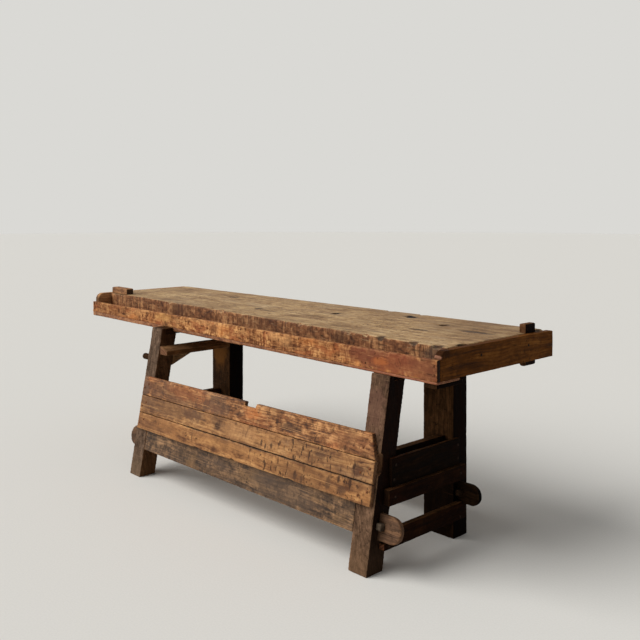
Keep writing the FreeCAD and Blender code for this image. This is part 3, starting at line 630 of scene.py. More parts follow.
    def scratched(self, amount):
        """Where scratches lie, at a slant."""
        lines = self.noise(self.mapping(self.flat, self.shift, SCRATCH_TURN, SCRATCHES), detail=1.0)
        low, high = (at - SCRATCH_MORE * amount for at in SCRATCH_BAND)
        return self.band(lines, low, high, 0.0, amount)

    def surface(self, hurt, scratches, gloss):
        """Roughness, gloss and relief."""
        sheen = self.plus(self.times(self.streaks, 0.5), self.times(self.fibre, 0.5))
        self.shade("Roughness", self.band(sheen, *ROUGHNESS_BAND))
        self.shade("Specular IOR Level", gloss)
        fine = self.plus(self.times(self.fibre, 0.7), self.times(self.streaks, 0.5))
        fine = self.minus(fine, self.times(self.late, 0.15))
        fine = self.minus(fine, self.times(self.plus(hurt, scratches), 0.7))
        ripples = self.bump(self.plus(self.cloud, self.times(self.mottle, 0.5)), *RIPPLES)
        self.shade("Normal", self.bump(fine, *FINE_RELIEF, ripples))


def wood(name, grain, tones, seed, shares=(0.45, 0.25, 0.30), contrast=1.0, lean=0.0, saw=0.0, slant=0.06,
         tints=(), side=None, grime=0.35, stains_and_shade=(), specks=0.5, dashes=0.0, crowd=None, scratch=0.3,
         rim=None, end=None, foot=None, painted_shade=None, gloss=0.2):
    """Old wood of the piece with this name.

    grain: axis that it runs along. tones: dark, middle and light colour. shares: of streaks, mottling and
    clouds. contrast: how fast the tones change. lean: how far the piece leans back. saw, slant: strength and
    angle of the marks across the grain. tints: colour, amount and size of cloudy second colours. side: tones
    of the edges that look back and front. grime: amount of dirt. stains: centre, radii, colour and amount,
    in metres, of each stain and each patch of painted shade. specks, dashes, scratch: amounts of these. crowd:
    where along X the dashes get many. rim, end: colour and amount on arrises and on end grain. foot: the same
    near the floor, and its height. dusk: painted shade, a colour that darkens the faces that look right, away
    from the sun, and its share at the floor."""
    t = Wood(name, grain, tones, seed, lean)
    low, high = 0.5 - TONE_SPAN / contrast, 0.5 + TONE_SPAN / contrast
    colour = t.ramp(t.lightness(shares, saw, slant), (low, t.dark), (0.5, t.middle), (high, t.light))
    colour = t.tinted(colour, tints)
    if side:
        colour = t.mix(t.band(t.square_to(Y), *SIDE_BAND), colour, t.sawn_edge(side, low, high))
    colour = t.dirty(colour, grime)
    if stains_and_shade:
        colour = t.stained_and_shaded(colour, stains_and_shade)
    hurt = t.flaws(specks, dashes, crowd)
    colour = t.mix(hurt, colour, t.deep)
    scratches = t.scratched(scratch)
    colour = t.mix(scratches, colour, t.light)
    if rim:
        ragged = t.times(t.attribute("rim"), t.band(t.mottle, *RIM_BAND))
        colour = t.mix(t.times(ragged, rim[1]), colour, rim[0])
    # the inner corners darker, by how far they filled up
    colour = t.mix(t.times(t.attribute("pit"), PIT_SHARE), colour, t.deep)
    if end:
        cut = t.band(t.square_to(grain), *END_BAND)
        colour = t.mix(t.times(cut, end[1]), colour, t.mix(t.times(t.late, END_RING_SHARE), end[0], t.deep))
    if foot:
        height = t.plus(t.part(t.raw, Z), t.times(t.centred(t.mottle), FOOT_RAGGED))
        colour = t.mix(t.band(height, foot[2], FOOT_FULL, 0.0, foot[1]), colour, foot[0])
    # painted shade: the faces that look right, away from the sun, darkened, less so near the floor
    if painted_shade:
        right = t.band(t.facing(X), *RIGHT_BAND)
        right = t.times(right, t.band(t.part(t.raw, Z), *PAINTED_SHADE_HEIGHTS, painted_shade[1], 1.0))
        colour = t.mix(right, colour, painted_shade[0], "MULTIPLY")
    t.shade("Base Color", colour)
    t.surface(hurt, scratches, gloss)
    return t.mat


# Iron: noise in changes per metre, and bands of it with the strength at both ends

RUST = 240.0
SCALE = 900.0
RUST_STOPS = (0.35, 0.55, 0.72)     # of the dark, middle and light tone
METAL_BAND = (0.62, 0.42, 0.0, 0.15)
SCALE_BAND = (0.3, 0.7, 0.65, 0.9)  # to roughness
IRON_GLOSS = 0.1
IRON_RELIEF = (0.5, 0.0006)         # strength and depth


def iron(name, *tones):
    """Forged nails: dark scale with rust."""
    t = Tree(name)
    place = t.object_space()
    rust = t.noise(place, scale=RUST, detail=4.0, rough=0.65)
    scale = t.noise(place, scale=SCALE, detail=2.0)
    t.shade("Base Color", t.ramp(rust, *zip(RUST_STOPS, tones)))
    t.shade("Metallic", t.band(rust, *METAL_BAND))
    t.shade("Roughness", t.band(scale, *SCALE_BAND))
    t.shade("Specular IOR Level", IRON_GLOSS)
    t.shade("Normal", t.bump(t.plus(scale, rust), *IRON_RELIEF))
    return t.mat


# Tones: dark, middle and light

TOP = (rgb(110, 78, 45), rgb(170, 136, 95), rgb(207, 177, 133))
TOP_EDGE = (rgb(66, 35, 19), rgb(132, 84, 51), rgb(194, 142, 95))
TROUGH = (rgb(82, 43, 21), rgb(156, 103, 62), rgb(216, 161, 104))
TROUGH_FLOOR = (rgb(92, 51, 29), rgb(148, 98, 64), rgb(190, 140, 98))
CLEAT = (rgb(92, 58, 34), rgb(150, 104, 66), rgb(188, 141, 96))
PLANK_1 = (rgb(66, 37, 19), rgb(138, 90, 53), rgb(202, 148, 97))
PLANK_2 = (rgb(84, 50, 28), rgb(150, 105, 64), rgb(196, 149, 98))
PLANK_3 = (rgb(88, 50, 24), rgb(148, 101, 59), rgb(198, 147, 93))
BOARD = (rgb(50, 37, 28), rgb(102, 77, 56), rgb(160, 123, 88))
LEG = (rgb(56, 40, 30), rgb(95, 72, 55), rgb(130, 100, 78))
LEG_LEFT = (rgb(56, 43, 34), rgb(97, 77, 62), rgb(132, 108, 90))
# a shaded copy of the rails' dark oak: painted shade for the far long rail and its right peg under the slab
DEEP = (rgb(18, 11, 6), rgb(34, 22, 12), rgb(58, 39, 23))
DARK = (rgb(32, 19, 10), rgb(60, 39, 21), rgb(96, 65, 40))
# the right cap's oak: dark partly in its own colour and partly with painted shade of its end face, which turns
# away from the sun
CAP = (rgb(50, 26, 8), rgb(88, 50, 16), rgb(122, 78, 36))
CAP_LEFT = (rgb(118, 82, 53), rgb(188, 140, 95), rgb(218, 172, 126))
LEDGER = (rgb(72, 51, 34), rgb(118, 85, 57), rgb(170, 127, 87))
KNEE = (rgb(72, 52, 34), rgb(120, 88, 58), rgb(164, 124, 86))
TONGUE = (rgb(58, 41, 29), rgb(98, 72, 54), rgb(140, 103, 74))
PEG = (rgb(92, 78, 66), rgb(128, 112, 97), rgb(158, 142, 124))
PEG_DARK = (rgb(46, 38, 30), rgb(70, 58, 47), rgb(98, 84, 70))
STOP = (rgb(56, 35, 20), rgb(98, 66, 42), rgb(134, 94, 62))

# Painted shade on the faces that look right, away from the sun: colour, and its share at the floor

SHADE = (rgb(68, 52, 42), 1.0)
LEG_SHADE = (rgb(68, 52, 42), 0.8)
LEFT_SHADE = (rgb(205, 176, 146), 1.0)
END_SHADE = (rgb(96, 96, 100), 1.0)
RAIL_SHADE = (rgb(124, 110, 110), 1.0)
FOOT_SHADE = (rgb(136, 120, 114), 1.0)
HALF_SHADE = (rgb(190, 172, 152), 1.0)


# Stains and painted shade: centre, radii, colour and amount

def edge_y(x):
    """The slab's back edge in plan."""
    return EDGE_RIGHT + (SLAB_RIGHT - x) * EDGE_TAPER / SLAB_LENGTH


def seam_z(x):
    """Height of the seam between the lower two planks."""
    return SEAM_RIGHT - SEAM_DROP * (PLANK_RIGHT - x) / PLANK_LENGTH


HOLE_PLACES = ((0.324, 0.155), (0.632, 0.311), (0.886, 0.211))
# painted shade: the holdfast holes near black through the slab's depth
HOLE_SHADE = tuple(((x, y, 0.722), (0.030, 0.034, 0.3), rgb(16, 10, 7), 1.0) for x, y in HOLE_PLACES)
TOP_STAINS_AND_SHADE = HOLE_SHADE + (
    ((1.12, 0.25, TOP_Z), (0.40, 0.30, 0.05), rgb(94, 64, 34), 0.42),
    ((0.62, 0.36, TOP_Z), (0.50, 0.16, 0.05), rgb(112, 80, 50), 0.3),
    ((-0.50, edge_y(-0.50), 0.752), (0.11, 0.05, 0.05), rgb(74, 42, 25), 0.6),
    ((0.20, edge_y(0.20), 0.752), (0.20, 0.05, 0.05), rgb(80, 47, 29), 0.35),
    ((-0.535, 0.237, TOP_Z), (0.055, 0.022, 0.02), rgb(52, 34, 22), 0.9),
    ((-0.06, 0.02, TOP_Z), (0.03, 0.026, 0.02), rgb(56, 37, 24), 0.9),
    ((0.03, 0.004, TOP_Z), (0.10, 0.014, 0.02), rgb(78, 55, 36), 0.8),
    ((0.895, 0.044, TOP_Z), (0.075, 0.020, 0.02), rgb(58, 38, 24), 0.9),
    ((1.10, 0.148, TOP_Z), (0.11, 0.022, 0.02), rgb(60, 40, 26), 0.9),
    ((0.15, 0.34, TOP_Z), (0.22, 0.03, 0.03), rgb(122, 94, 66), 0.5),
    ((0.70, edge_y(0.70), 0.75), (0.075, 0.05, 0.045), rgb(50, 31, 20), 0.5),
    ((1.175, edge_y(1.175), 0.745), (0.08, 0.05, 0.038), rgb(56, 45, 39), 0.65),
    # painted shade: near black in the slot near the right end
    ((1.222, -0.117, 0.772), (0.020, 0.040, 0.03), rgb(14, 9, 6), 1.0),
    # painted shade: near black in the two dents beside the hole at 0.632
    ((0.612, 0.326, 0.77), (0.034, 0.030, 0.10), rgb(18, 11, 8), 1.0),
    ((0.648, 0.304, 0.77), (0.028, 0.028, 0.10), rgb(18, 11, 8), 1.0),
    # painted shadow of the planing stop, over the groove beside it
    ((1.222, 0.380, TOP_Z), (0.024, 0.046, 0.03), rgb(20, 12, 8), 0.95),
    # the three splits in the back edge, painted dark
    ((0.915, edge_y(0.915), 0.778), (0.026, 0.03, 0.014), rgb(36, 22, 14), 0.9),
    ((1.077, edge_y(1.077), 0.778), (0.028, 0.03, 0.014), rgb(32, 20, 13), 0.9),
    ((1.188, edge_y(1.188), 0.778), (0.034, 0.03, 0.016), rgb(36, 23, 15), 0.9),
)
FLOOR_STAINS = (((1.06, -0.292, 0.672), (0.34, 0.06, 0.05), rgb(140, 82, 58), 0.7),)
CAP_STAINS = (
    ((1.246, -0.266, 0.772), (0.06, 0.06, 0.030), rgb(44, 22, 8), 0.9),
    ((1.244, -0.286, 0.757), (0.03, 0.014, 0.010), rgb(196, 140, 112), 0.85),
)
CAP_LEFT_STAINS = (((-1.262, 0.07, 0.73), (0.022, 0.7, 0.25), rgb(112, 72, 42), 0.75),)
TROUGH_STAINS = (
    ((1.02, -0.292, 0.722), (0.26, 0.05, 0.07), rgb(120, 64, 44), 0.8),
    ((0.92, -0.287, 0.72), (0.15, 0.05, 0.05), rgb(98, 54, 40), 0.4),
    ((-1.03, -0.202, 0.71), (0.20, 0.05, 0.06), rgb(112, 68, 38), 0.5),
    ((0.995, -0.29, 0.712), (0.05, 0.05, 0.022), rgb(196, 112, 56), 0.4),
    ((1.21, -0.30, 0.715), (0.10, 0.05, 0.06), rgb(126, 78, 54), 0.55),
    ((-0.90, -0.208, 0.697), (0.03, 0.05, 0.006), rgb(66, 34, 18), 0.9),
    ((-0.955, -0.206, 0.708), (0.012, 0.05, 0.02), rgb(74, 40, 20), 0.85),
    ((-1.05, -0.201, 0.715), (0.03, 0.05, 0.012), rgb(120, 66, 34), 0.7),
    ((-0.50, -0.225, 0.72), (0.10, 0.05, 0.03), rgb(196, 144, 84), 0.5),
    ((-0.05, -0.245, 0.709), (0.04, 0.05, 0.03), rgb(104, 62, 36), 0.6),
)
PLANK_1_STAINS = (
    ((-0.45, -0.357, 0.418), (0.045, 0.06, 0.07), rgb(104, 84, 68), 0.7),
    ((-0.22, -0.357, 0.405), (0.42, 0.06, 0.06), rgb(92, 62, 43), 0.6),
    ((0.36, -0.355, 0.426), (0.075, 0.06, 0.032), rgb(192, 112, 56), 0.5),
    ((0.60, -0.357, 0.412), (0.075, 0.06, 0.024), rgb(66, 44, 32), 0.7),
    ((0.92, -0.355, 0.428), (0.13, 0.06, 0.04), rgb(134, 84, 52), 0.4),
    ((-0.10, -0.356, 0.43), (0.22, 0.06, 0.04), rgb(142, 82, 46), 0.5),
    ((0.12, -0.357, 0.41), (0.12, 0.06, 0.055), rgb(84, 63, 49), 0.65),
)
SEAM_PLACES = np.arange(0.0, 1.0, 0.19)
SEAM = tuple(((x, -0.378, seam_z(x)), (0.15, 0.06, 0.005), rgb(26, 15, 9), 0.9) for x in SEAM_PLACES)
PLANK_2_STAINS = SEAM + (
    ((-0.28, -0.37, 0.345), (0.40, 0.06, 0.05), rgb(98, 68, 46), 0.5),
    ((-0.04, -0.37, 0.348), (0.11, 0.06, 0.028), rgb(84, 55, 40), 0.7),
    ((0.80, -0.37, 0.34), (0.14, 0.06, 0.05), rgb(96, 62, 40), 0.4),
    ((0.30, -0.372, 0.34), (0.16, 0.06, 0.04), rgb(186, 138, 92), 0.4),
    ((0.15, -0.372, 0.338), (0.026, 0.06, 0.018), rgb(70, 45, 30), 0.9),
    ((0.44, -0.375, 0.327), (0.008, 0.06, 0.02), rgb(50, 32, 22), 0.85),
    ((0.465, -0.375, 0.317), (0.007, 0.06, 0.016), rgb(54, 34, 22), 0.8),
    ((0.50, -0.375, 0.326), (0.012, 0.06, 0.012), rgb(58, 38, 26), 0.8),
    ((0.772, -0.37, 0.349), (0.04, 0.06, 0.018), rgb(78, 52, 36), 0.7),
    ((0.965, -0.372, 0.338), (0.035, 0.06, 0.028), rgb(76, 46, 30), 0.85),
)
PLANK_3_STAINS = SEAM + (
    ((0.655, -0.388, 0.25), (0.012, 0.06, 0.026), rgb(62, 40, 27), 0.8),
    ((0.69, -0.388, 0.245), (0.010, 0.06, 0.022), rgb(66, 42, 28), 0.75),
    ((0.83, -0.386, 0.262), (0.016, 0.06, 0.026), rgb(70, 46, 30), 0.75),
    ((0.90, -0.386, 0.256), (0.024, 0.06, 0.02), rgb(72, 46, 30), 0.75),
    ((-0.02, -0.385, 0.27), (0.004, 0.06, 0.04), rgb(70, 44, 28), 0.7),
    ((0.2, -0.385, 0.275), (0.3, 0.06, 0.03), rgb(184, 132, 80), 0.3),
    ((0.70, -0.386, 0.262), (0.26, 0.06, 0.06), rgb(98, 66, 41), 0.4),
    ((-0.33, -0.385, 0.26), (0.30, 0.06, 0.05), rgb(112, 72, 44), 0.4),
)
BOARD_STAINS = (((0.55, -0.375, 0.17), (0.24, 0.06, 0.09), rgb(76, 61, 50), 0.55),)
BACK_LEG_RIGHT_STAINS = (
    ((1.04, -0.345, 0.37), (0.028, 0.04, 0.05), rgb(120, 82, 54), 0.7),
    ((1.0, -0.37, 0.33), (0.02, 0.05, 0.03), rgb(58, 40, 30), 0.6),
    ((0.99, -0.31, 0.55), (0.08, 0.08, 0.10), rgb(112, 80, 66), 0.5),
)
BACK_LEG_LEFT_SHADE = (
    # painted shade at the top of the left back leg under the trough, and a painted shadow line just below the
    # board
    ((-0.40, -0.25, 0.67), (0.03, 0.10, 0.10), rgb(56, 36, 22), 0.7),
    ((-0.445, -0.25, 0.682), (0.08, 0.10, 0.014), rgb(50, 35, 25), 0.5),
)
FRONT_LEG_RIGHT_SHADE = (
    # painted shade on the far front leg: near black low down and at its top under the slab
    ((0.975, 0.066, 0.14), (0.14, 0.06, 0.30), rgb(12, 6, 3), 0.9),
    ((0.975, 0.066, 0.68), (0.14, 0.06, 0.07), rgb(16, 9, 5), 0.8),
)
FRONT_LEG_LEFT_STAINS = (((-0.42, 0.065, 0.53), (0.075, 0.03, 0.10), rgb(126, 82, 38), 0.8),)


# Dents: centre, radii, depth and direction

INTO_BACK_EDGE = (0, 0.5, -0.86)
INTO_FRONT_EDGE = (0, -0.5, -0.86)
DOWN = (0, 0, -1)
UP = (0, 0, 1)
EDGE_SPLITS = [(0.915, 0.018, 0.008), (1.077, 0.020, 0.009), (1.188, 0.022, 0.010)]
EDGE_CHIPS = 22
CHIP_RANGES = ((-1.15, 1.2), (0.008, 0.02), (0.002, 0.006))     # place along the edge, half length, depth

draws = np.random.default_rng(CHIP_SEED)
EDGE_DENTS = EDGE_SPLITS + [tuple(float(draws.uniform(*span)) for span in CHIP_RANGES)
                            for _ in range(EDGE_CHIPS)]
DENTS = {
    "bench_top": [
        ((x, edge_y(x) + 0.002, TOP_Z), (half, 0.012, 0.011), depth, INTO_BACK_EDGE)
        for x, half, depth in EDGE_DENTS
    ] + [
        ((0.432, 0.412, TOP_Z), (0.022, 0.018, 0.012), 0.010, INTO_FRONT_EDGE),
        ((0.620, 0.412, TOP_Z), (0.018, 0.016, 0.012), 0.010, INTO_FRONT_EDGE),
        ((0.612, 0.322, TOP_Z), (0.022, 0.014, 0.020), 0.014, DOWN),
        ((0.648, 0.300, TOP_Z), (0.016, 0.012, 0.020), 0.012, DOWN),
        ((0.872, 0.205, TOP_Z), (0.014, 0.010, 0.020), 0.008, DOWN),
        ((1.221, 0.380, TOP_Z), (0.014, 0.038, 0.020), 0.012, DOWN),
    ],
    "trough_board": [
        ((1.028, -0.290, 0.745), (0.016, 0.014, 0.010), 0.006, INTO_BACK_EDGE),
        ((1.095, -0.293, 0.746), (0.020, 0.014, 0.010), 0.006, INTO_BACK_EDGE),
    ],
    "back_plank_bottom": [
        ((0.27, -0.385, 0.222), (0.02, 0.03, 0.010), 0.006, UP),
        ((0.02, -0.385, 0.220), (0.03, 0.03, 0.008), 0.004, UP),
        ((0.62, -0.385, 0.226), (0.025, 0.03, 0.008), 0.004, UP),
    ],
}


# What stays crisp, so that joints and seams stay shut

def behind_face(co):
    """Planks wear on the outside only."""
    out = co @ OUTWARD
    return (out.max() - out) > PLANK_FACE


def above(z):
    return lambda co: co[:, Z] > z


def below(z):
    return lambda co: co[:, Z] < z


def all_over(share):
    return lambda co: np.full(len(co), share)


HOLDS = {
    "trough_board": below(0.686), "trough_floor": above(0.674),
    "back_leg_right": above(0.644), "back_leg_left": above(0.644),
    "front_leg_right": above(0.664), "front_leg_left": above(0.664),
    "bearer_right": all_over(0.8), "bearer_left": all_over(0.8),
    "back_plank_top": behind_face, "back_plank_middle": behind_face, "back_plank_bottom": behind_face,
}

# Wear: voxel size, smoothing rounds, depth of the hollows, share of the faces kept

SLAB_WEAR = Wear(0.0036, 4, 0.0010, 0.25)
CAP_WEAR = Wear(0.003, 3, 0.0006, 0.35)
TROUGH_WEAR = Wear(0.003, 4, 0.0010, 0.3)
TROUGH_FLOOR_WEAR = Wear(0.0034, 2, 0.0006, 0.3)
BATTEN_WEAR = Wear(0.003, 3, 0.0006, 0.4)
CLEAT_WEAR = Wear(0.0026, 3, 0.0006, 0.4)
SMALL_WEAR = Wear(0.002, 3, 0.0004, 0.4)
HANGING_PEG_WEAR = Wear(0.002, 2, 0.0004, 0.4)
BACK_LEG_WEAR = Wear(0.003, 4, 0.0009, 0.35)
BAR_WEAR = Wear(0.003, 4, 0.0008, 0.35)
BEARER_WEAR = Wear(0.003, 2, 0.0004, 0.3)
END_RAIL_WEAR = Wear(0.0034, 3, 0.0008, 0.35)
END_BOARD_WEAR = Wear(0.003, 3, 0.0008, 0.35)
LONG_RAIL_WEAR = Wear(0.0034, 4, 0.0008, 0.35)
PLANK_WEAR = Wear(0.003, 4, 0.0008, 0.28)
BOARD_WEAR = Wear(0.0034, 3, 0.0008, 0.3)

# Looks that several pieces share

BALANCED = (0.35, 0.4, 0.25)
MOTTLED = (0.3, 0.45, 0.25)
# dark oak, with painted shade on the faces that look right
BLACKENED_AND_SHADED = dict(shares=(0.4, 0.35, 0.25), rim=(rgb(84, 54, 32), 0.4), end=(rgb(40, 25, 14), 0.7),
                 grime=0.4, painted_shade=SHADE, gloss=0.02)
RIGHT_END = dict(BLACKENED_AND_SHADED, rim=(rgb(60, 36, 22), 0.3), end=(rgb(24, 13, 7), 0.9))
BACK_LEG = dict(shares=BALANCED, lean=LEAN, saw=0.3, gloss=0.03)
PLANK = dict(shares=(0.40, 0.38, 0.22), rim=(rgb(178, 126, 80), 0.45), end=(rgb(70, 44, 27), 0.8), lean=LEAN,
             dashes=0.85, crowd=(0.1, 0.9), grime=0.5, scratch=0.5, contrast=1.15)

# The pieces: slot, grain, tones, wear and look; the order sets the seeds

PIECES = {
    "bench_top": ("oak_top", X, TOP, SLAB_WEAR, dict(
        shares=(0.40, 0.30, 0.30), contrast=1.3, side=TOP_EDGE, stains_and_shade=TOP_STAINS_AND_SHADE, specks=0.7, grime=0.4,
        rim=(rgb(110, 74, 46), 0.35), end=(rgb(90, 62, 40), 0.7),
        tints=((rgb(130, 101, 70), 0.4, 0.16), (rgb(188, 162, 128), 0.3, 0.11)))),
    "end_cap_right": ("oak_top", Y, CAP, CAP_WEAR, dict(
        rim=(rgb(112, 82, 62), 0.12), end=(rgb(52, 30, 14), 0.7), gloss=0.03, stains_and_shade=CAP_STAINS)),
    "end_cap_left": ("oak_top", Y, CAP_LEFT, CAP_WEAR, dict(
        rim=(rgb(140, 94, 58), 0.5), end=(rgb(62, 40, 24), 0.7), gloss=0.1, stains_and_shade=CAP_LEFT_STAINS)),
    "trough_board": ("old_pine", X, TROUGH, TROUGH_WEAR, dict(
        shares=(0.10, 0.56, 0.34), contrast=1.25, saw=1.0, slant=0.7, stains_and_shade=TROUGH_STAINS, specks=0.6,
        grime=0.45, rim=(rgb(206, 156, 106), 0.5), end=(rgb(20, 11, 6), 1.0), gloss=0.08,
        tints=((rgb(204, 150, 98), 0.55, 0.06), (rgb(148, 80, 46), 0.6, 0.05),
               (rgb(196, 122, 64), 0.5, 0.10)))),
    "trough_floor": ("old_pine", X, TROUGH_FLOOR, TROUGH_FLOOR_WEAR, dict(
        shares=MOTTLED, saw=0.5, end=(rgb(92, 54, 36), 0.8), grime=0.5, stains_and_shade=FLOOR_STAINS)),
    "trough_batten": ("dark_oak", Y, DARK, BATTEN_WEAR, BLACKENED_AND_SHADED),
    "planing_stop": ("dark_oak", Z, STOP, SMALL_WEAR, dict(
        rim=(rgb(130, 92, 62), 0.3), gloss=0.03, painted_shade=SHADE)),
    "corner_cleat": ("old_pine", X, CLEAT, CLEAT_WEAR, dict(
        shares=MOTTLED, rim=(rgb(164, 118, 78), 0.4), end=(rgb(40, 25, 15), 0.9))),
    "back_leg_right": ("grey_wood", Z, LEG, BACK_LEG_WEAR, dict(
        BACK_LEG, rim=(rgb(150, 114, 84), 0.55), stains_and_shade=BACK_LEG_RIGHT_STAINS,
        foot=(rgb(110, 84, 60), 0.35, 0.14), painted_shade=LEG_SHADE)),
    "back_leg_left": ("grey_wood", Z, LEG_LEFT, BACK_LEG_WEAR, dict(
        BACK_LEG, rim=(rgb(142, 108, 80), 0.55), stains_and_shade=BACK_LEG_LEFT_SHADE,
        foot=(rgb(116, 96, 74), 0.4, 0.12), painted_shade=LEFT_SHADE)),
    "front_leg_right": ("dark_oak", Z, DARK, BAR_WEAR, dict(BLACKENED_AND_SHADED, stains_and_shade=FRONT_LEG_RIGHT_SHADE)),
    "front_leg_left": ("dark_oak", Z, DARK, BAR_WEAR, dict(BLACKENED_AND_SHADED, stains_and_shade=FRONT_LEG_LEFT_STAINS)),
    "bearer_right": ("dark_oak", Y, DARK, BEARER_WEAR, BLACKENED_AND_SHADED),
    "bearer_left": ("dark_oak", Y, DARK, BEARER_WEAR, dict(BLACKENED_AND_SHADED, painted_shade=HALF_SHADE)),
    "end_rail_right": ("dark_oak", Y, DARK, END_RAIL_WEAR, dict(BLACKENED_AND_SHADED, painted_shade=END_SHADE)),
    "end_rail_left": ("dark_oak", Y, DARK, END_RAIL_WEAR, dict(BLACKENED_AND_SHADED, painted_shade=HALF_SHADE)),
    "stretcher_right": ("dark_oak", Y, DARK, BAR_WEAR, dict(
        BLACKENED_AND_SHADED, rim=(rgb(92, 56, 35), 0.4), end=(rgb(98, 60, 41), 0.8), painted_shade=FOOT_SHADE)),
    "stretcher_left": ("dark_oak", Y, DARK, BAR_WEAR, BLACKENED_AND_SHADED),
    "outer_rail_right": ("dark_oak", Y, DARK, BAR_WEAR, dict(
        RIGHT_END, tints=((rgb(92, 50, 27), 0.5, 0.1),), painted_shade=RAIL_SHADE)),
    "end_board_right": ("dark_oak", Y, DARK, END_BOARD_WEAR, dict(
        RIGHT_END, tints=((rgb(84, 44, 25), 0.5, 0.12),), painted_shade=END_SHADE)),
    "ledger_left": ("dark_oak", Y, LEDGER, CAP_WEAR, dict(
        BLACKENED_AND_SHADED, rim=(rgb(176, 134, 92), 0.7), end=(rgb(124, 86, 64), 0.8), painted_shade=HALF_SHADE)),
    "ledger_knee": ("dark_oak", Y, KNEE, CAP_WEAR, dict(BLACKENED_AND_SHADED, painted_shade=None)),
    "hanging_peg": ("dark_oak", X, DARK, HANGING_PEG_WEAR, dict(BLACKENED_AND_SHADED, rim=(rgb(96, 70, 50), 0.5))),
    "back_long_rail": ("dark_oak", X, TONGUE, LONG_RAIL_WEAR, dict(
        shares=BALANCED, rim=(rgb(150, 104, 66), 0.6), gloss=0.1)),
    "front_long_rail": ("dark_oak", X, DEEP, LONG_RAIL_WEAR, dict(BLACKENED_AND_SHADED, rim=(rgb(66, 44, 27), 0.5))),
    "back_tusk_peg_right": ("grey_wood", Y, PEG_DARK, SMALL_WEAR, dict(gloss=0.1)),
    "back_tusk_peg_left": ("grey_wood", Y, PEG_DARK, SMALL_WEAR, dict(gloss=0.1)),
    "front_tusk_peg_right": ("grey_wood", Y, DEEP, SMALL_WEAR, dict(gloss=0.04)),
    "front_tusk_peg_left": ("grey_wood", Y, TONGUE, SMALL_WEAR, dict(gloss=0.1)),
    "back_plank_top": ("old_pine", X, PLANK_1, PLANK_WEAR, dict(
        PLANK, shares=(0.22, 0.52, 0.26), stains_and_shade=PLANK_1_STAINS, dashes=0.5, scratch=0.85, contrast=1.4,
        tints=((rgb(166, 92, 50), 0.45, 0.10), (rgb(112, 92, 76), 0.3, 0.09)))),
    "back_plank_middle": ("old_pine", X, PLANK_2, PLANK_WEAR, dict(
        PLANK, stains_and_shade=PLANK_2_STAINS,
        tints=((rgb(118, 88, 66), 0.5, 0.10), (rgb(178, 124, 74), 0.4, 0.08)))),
    "back_plank_bottom": ("old_pine", X, PLANK_3, PLANK_WEAR, dict(
        PLANK, stains_and_shade=PLANK_3_STAINS, rim=(rgb(214, 164, 114), 0.6),
        tints=((rgb(116, 80, 52), 0.45, 0.10), (rgb(180, 124, 72), 0.4, 0.08)))),
    "lower_back_board": ("grey_wood", X, BOARD, BOARD_WEAR, dict(
        shares=(0.28, 0.45, 0.27), contrast=1.2, lean=LEAN, saw=0.5, stains_and_shade=BOARD_STAINS, dashes=0.5,
        scratch=0.5, grime=0.55, rim=(rgb(176, 128, 78), 0.6),
        tints=((rgb(136, 102, 66), 0.5, 0.1), (rgb(88, 70, 58), 0.4, 0.08)))),
}
for number, (node, (slot, grain, tones, wear, look)) in enumerate(PIECES.items()):
    material = wood(node, grain, tones, WOOD_SEED + number, **look)
    seed = WEAR_SEED + WEAR_SEED_STEP * number
    piece = worn(node, wear, seed, DENTS.get(node, ()), grain, HOLDS.get(node))
    dressed(piece, material)

forged = iron("forged_iron", rgb(22, 16, 12), rgb(40, 27, 19), rgb(72, 44, 26))
rusted = iron("rusted_iron", rgb(60, 38, 26), rgb(90, 58, 38), rgb(126, 84, 54))
faded = iron("faded_iron", rgb(84, 50, 31), rgb(112, 69, 44), rgb(138, 90, 58))
FASTENERS = {"plank_nails": faded, "cap_nails": forged, "trough_nails": faded, "end_board_nails": forged,
             "cleat_nails": rusted, "bearer_pegs": wood("bearer_pegs", Z, PEG, PEG_SEED)}
for node, material in FASTENERS.items():
    dressed(frame["nodes"][node], material)


# Stage

FLOOR_RADIUS = 40.0
FLOOR_SIDES = 96
FLOOR_GRIT = 160.0                  # changes per metre
FLOOR_TONES = ((0.3, rgb(224, 223, 219)), (0.7, rgb(229, 228, 224)))
FLOOR_ROUGHNESS = 0.85
FLOOR_GLOSS = 0.2

floor_mesh = bpy.data.meshes.new("floor")
angles = np.linspace(0, 2 * math.pi, FLOOR_SIDES, endpoint=False)
floor_mesh.from_pydata([(FLOOR_RADIUS * math.cos(a), FLOOR_RADIUS * math.sin(a), 0.0) for a in angles],
                       [], [tuple(range(FLOOR_SIDES))])
floor = shown("floor", floor_mesh)
paint = Tree("pale_floor")
grit = paint.noise(paint.object_space(), scale=FLOOR_GRIT, detail=2.0)
paint.shade("Base Color", paint.ramp(grit, *FLOOR_TONES))
paint.shade("Roughness", FLOOR_ROUGHNESS)
paint.shade("Specular IOR Level", FLOOR_GLOSS)
dressed(floor, paint.mat)


# Camera, fitted to the photograph; a level view whose shift brings the bench into the frame

IMAGE_SIDE = 640                    # pixels
FOCAL_LENGTH = 825.1                # pixels
MIDDLE_OFF = 0.14                   # pixels
HORIZON_ROW = 208.5                 # pixels
SENSOR = 36.0                       # millimetres
CAMERA_PLACE = (2.9653, -2.4492, 1.2520)
CAMERA_TURN = 0.812                 # radians; 0 looks straight across from the back
CLIP_END = 60

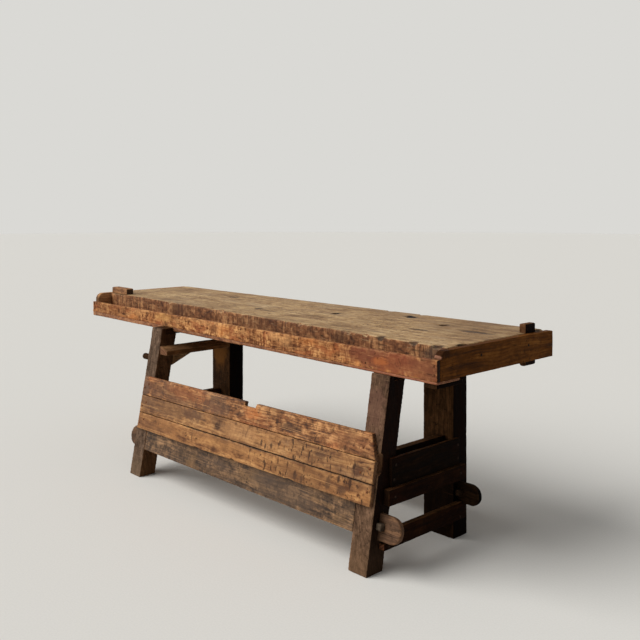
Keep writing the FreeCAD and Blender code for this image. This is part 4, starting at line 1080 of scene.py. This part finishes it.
camera = bpy.data.objects.new("camera", bpy.data.cameras.new("camera"))
SCENE.collection.objects.link(camera)
camera.location = CAMERA_PLACE
camera.rotation_euler = (math.pi / 2, 0, CAMERA_TURN)
camera.data.sensor_width = SENSOR
camera.data.lens = SENSOR * FOCAL_LENGTH / IMAGE_SIDE
camera.data.shift_x = MIDDLE_OFF / IMAGE_SIDE
camera.data.shift_y = (HORIZON_ROW - IMAGE_SIDE / 2) / IMAGE_SIDE
camera.data.clip_end = CLIP_END
SCENE.camera = camera


# Light: one wide sun and a pale world, which the camera and reflections see brighter than it lights

SUN_STRENGTH = 3.1
SUN_WIDTH = math.radians(55)
SUN_COLOUR = (1.0, 0.985, 0.96)
SUN_WAY = (0.62, 0.78, -0.80)
SEEN = (rgb(218, 217, 213), 1.0)
FILL = ((1.0, 0.99, 0.97, 1), 0.27)

sun = bpy.data.lights.new("key", "SUN")
sun.energy = SUN_STRENGTH
sun.angle = SUN_WIDTH
sun.color = SUN_COLOUR
key = bpy.data.objects.new("key", sun)
SCENE.collection.objects.link(key)
key.rotation_euler = Vector(SUN_WAY).to_track_quat("-Z", "Y").to_euler()

world = bpy.data.worlds.new("studio")
SCENE.world = world
world.use_nodes = True
nodes = world.node_tree.nodes
links = world.node_tree.links
nodes.clear()
path = nodes.new("ShaderNodeLightPath")
rays = path.outputs["Is Camera Ray"]
for kind in ("Is Glossy Ray", "Is Transmission Ray"):
    either = nodes.new("ShaderNodeMath")
    either.operation = "MAXIMUM"
    links.new(rays, either.inputs[0])
    links.new(path.outputs[kind], either.inputs[1])
    rays = either.outputs[0]
both = nodes.new("ShaderNodeMixShader")
links.new(rays, both.inputs[0])
for socket, (colour, strength) in zip(both.inputs[1:], (FILL, SEEN)):
    sky = nodes.new("ShaderNodeBackground")
    sky.inputs["Color"].default_value = colour
    sky.inputs["Strength"].default_value = strength
    links.new(sky.outputs[0], socket)
links.new(both.outputs[0], nodes.new("ShaderNodeOutputWorld").inputs["Surface"])

SCENE.view_settings.view_transform = "Standard"
bpy.context.view_layer.update()
